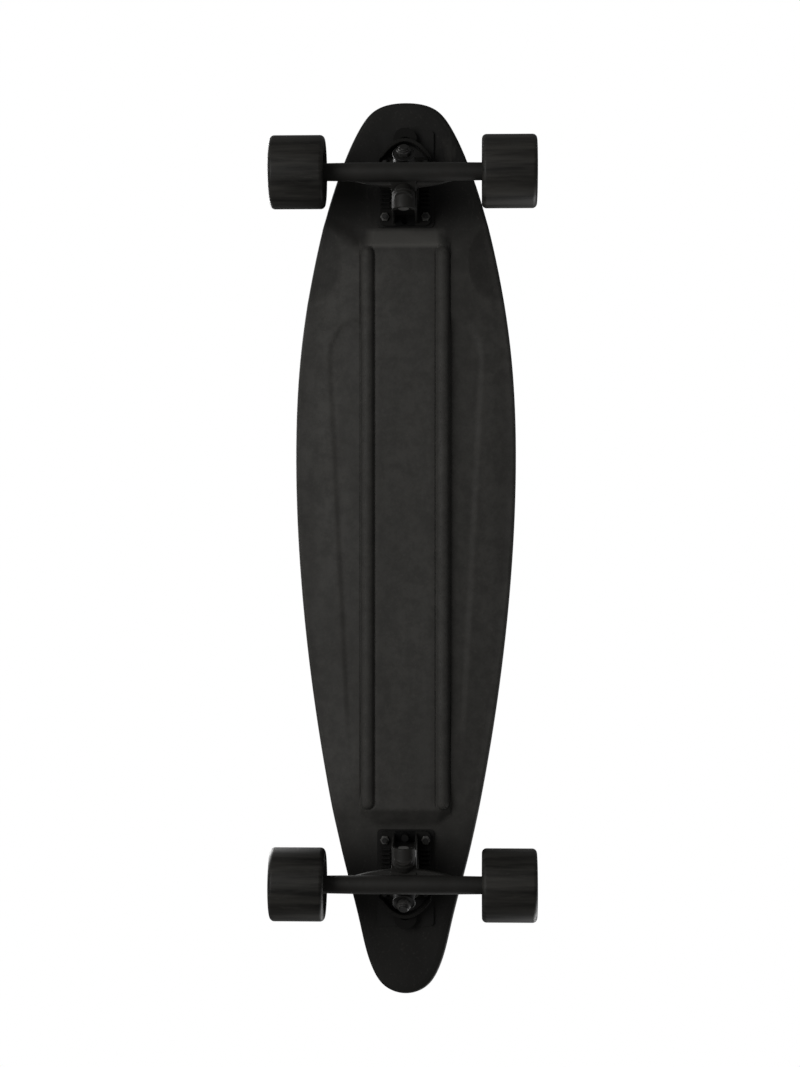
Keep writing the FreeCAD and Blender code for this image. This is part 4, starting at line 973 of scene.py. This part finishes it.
# ---- stage -------------------------------------------------------------------------------
def make_floor():
    """A pale floor that shows from above only, so the board can be seen from below. It is well under
    the wheels, which steering moves below the height that they stand at."""
    size, z = 60.0, -0.5
    mesh = bpy.data.meshes.new("floor")
    corners = [(-size, -size, z), (size, -size, z), (size, size, z), (-size, size, z)]
    mesh.from_pydata(corners, [], [(0, 1, 2, 3)])
    floor = bpy.data.objects.new("floor", mesh)
    bpy.context.scene.collection.objects.link(floor)
    material = bpy.data.materials.new("floor")
    material.use_nodes = True
    tree = material.node_tree
    shader = tree.nodes["Principled BSDF"]
    shader.inputs["Base Color"].default_value = (0.40, 0.40, 0.40, 1)
    shader.inputs["Roughness"].default_value = 0.85
    shader.inputs["Emission Color"].default_value = (1.0, 1.0, 1.0, 1)
    shader.inputs["Emission Strength"].default_value = 0.75
    clear = tree.nodes.new("ShaderNodeBsdfTransparent")
    side = tree.nodes.new("ShaderNodeNewGeometry")
    mix = tree.nodes.new("ShaderNodeMixShader")
    tree.links.new(side.outputs["Backfacing"], mix.inputs["Fac"])
    tree.links.new(shader.outputs[0], mix.inputs[1])
    tree.links.new(clear.outputs[0], mix.inputs[2])
    tree.links.new(mix.outputs[0], tree.nodes["Material Output"].inputs["Surface"])
    mesh.materials.append(material)
    floor.visible_diffuse = False
    floor.visible_glossy = False
    floor.visible_transmission = False
    floor.visible_shadow = False


def add_light(name, place, target, size, power):
    data = bpy.data.lights.new(name, "AREA")
    data.shape = "RECTANGLE"
    data.size, data.size_y = size
    data.energy = power
    light = bpy.data.objects.new(name, data)
    light.location = place
    light.rotation_euler = (Vector(target) - Vector(place)).to_track_quat("-Z", "Y").to_euler()
    light.visible_camera = False
    bpy.context.scene.collection.objects.link(light)


FILL_LIGHT = 0.22             # the white surround lights the object only this much


def make_studio():
    world = bpy.data.worlds.new("studio")
    bpy.context.scene.world = world
    world.use_nodes = True
    tree = world.node_tree
    shown = tree.nodes["Background"]
    shown.inputs["Color"].default_value = (1, 1, 1, 1)
    fill = tree.nodes.new("ShaderNodeBackground")
    fill.inputs["Color"].default_value = (1, 1, 1, 1)
    fill.inputs["Strength"].default_value = FILL_LIGHT
    rays = tree.nodes.new("ShaderNodeLightPath")
    mix = tree.nodes.new("ShaderNodeMixShader")
    tree.links.new(rays.outputs["Is Camera Ray"], mix.inputs["Fac"])
    tree.links.new(fill.outputs[0], mix.inputs[1])
    tree.links.new(shown.outputs[0], mix.inputs[2])
    tree.links.new(mix.outputs[0], tree.nodes["World Output"].inputs["Surface"])
    bpy.context.scene.view_settings.view_transform = "Standard"
    middle = (0.0, 0.0, 0.09)
    add_light("key_below", (0.4, -1.35, -1.9), middle, (1.8, 1.2), 36.5)
    add_light("key_above", (0.6, -1.3, 1.9), middle, (1.4, 1.4), 75.0)
    add_light("rim_above", (-1.6, 1.2, 1.1), middle, (1.6, 0.8), 40.0)


CAMERA_DISTANCE = 2.150       # from the deck's underside
CAMERA_X = 0.0149             # the board sits a little low in the frame
CAMERA_Y = 0.067
LENS = 71.6


def make_camera():
    """Straight below the board, looking up, with the nose towards the top of the frame."""
    data = bpy.data.cameras.new("camera")
    data.lens = LENS
    data.sensor_width = 36.0
    camera = bpy.data.objects.new("camera", data)
    place = Vector((CAMERA_X, CAMERA_Y, PAD_Z * MM - CAMERA_DISTANCE))
    target = Vector((CAMERA_X, -0.0056, PAD_Z * MM))
    forward = (target - place).normalized()
    right = forward.cross(Vector((1, 0, 0))).normalized()
    up = right.cross(forward)
    camera.matrix_world = matrix_from_axes(right, up, -forward, place)
    bpy.context.scene.collection.objects.link(camera)
    bpy.context.scene.camera = camera


def matrix_from_axes(x, y, z, place):
    rows = [(x[i], y[i], z[i], place[i]) for i in range(3)]
    return Matrix(rows + [(0, 0, 0, 1)])


def main():
    make_studio()
    make_camera()
    make_floor()
    dress_cad_nodes()
    make_deck()
    trucks = [Truck("front", 1), Truck("rear", -1)]
    for truck in trucks:
        cast_copy(truck.end + "_baseplate", "cast_black", "board")
        cast_copy(truck.end + "_hanger", "cast_black", truck.end + "_hanger")
        make_bushings(truck)
    make_kingpin_hardware(trucks)
    make_truck_nuts(trucks)
    make_deck_screws(trucks)
    for node, width in SOFT_PIECES.items():
        softened(node, width)
    make_wheels()
    make_axle_hardware()


main()
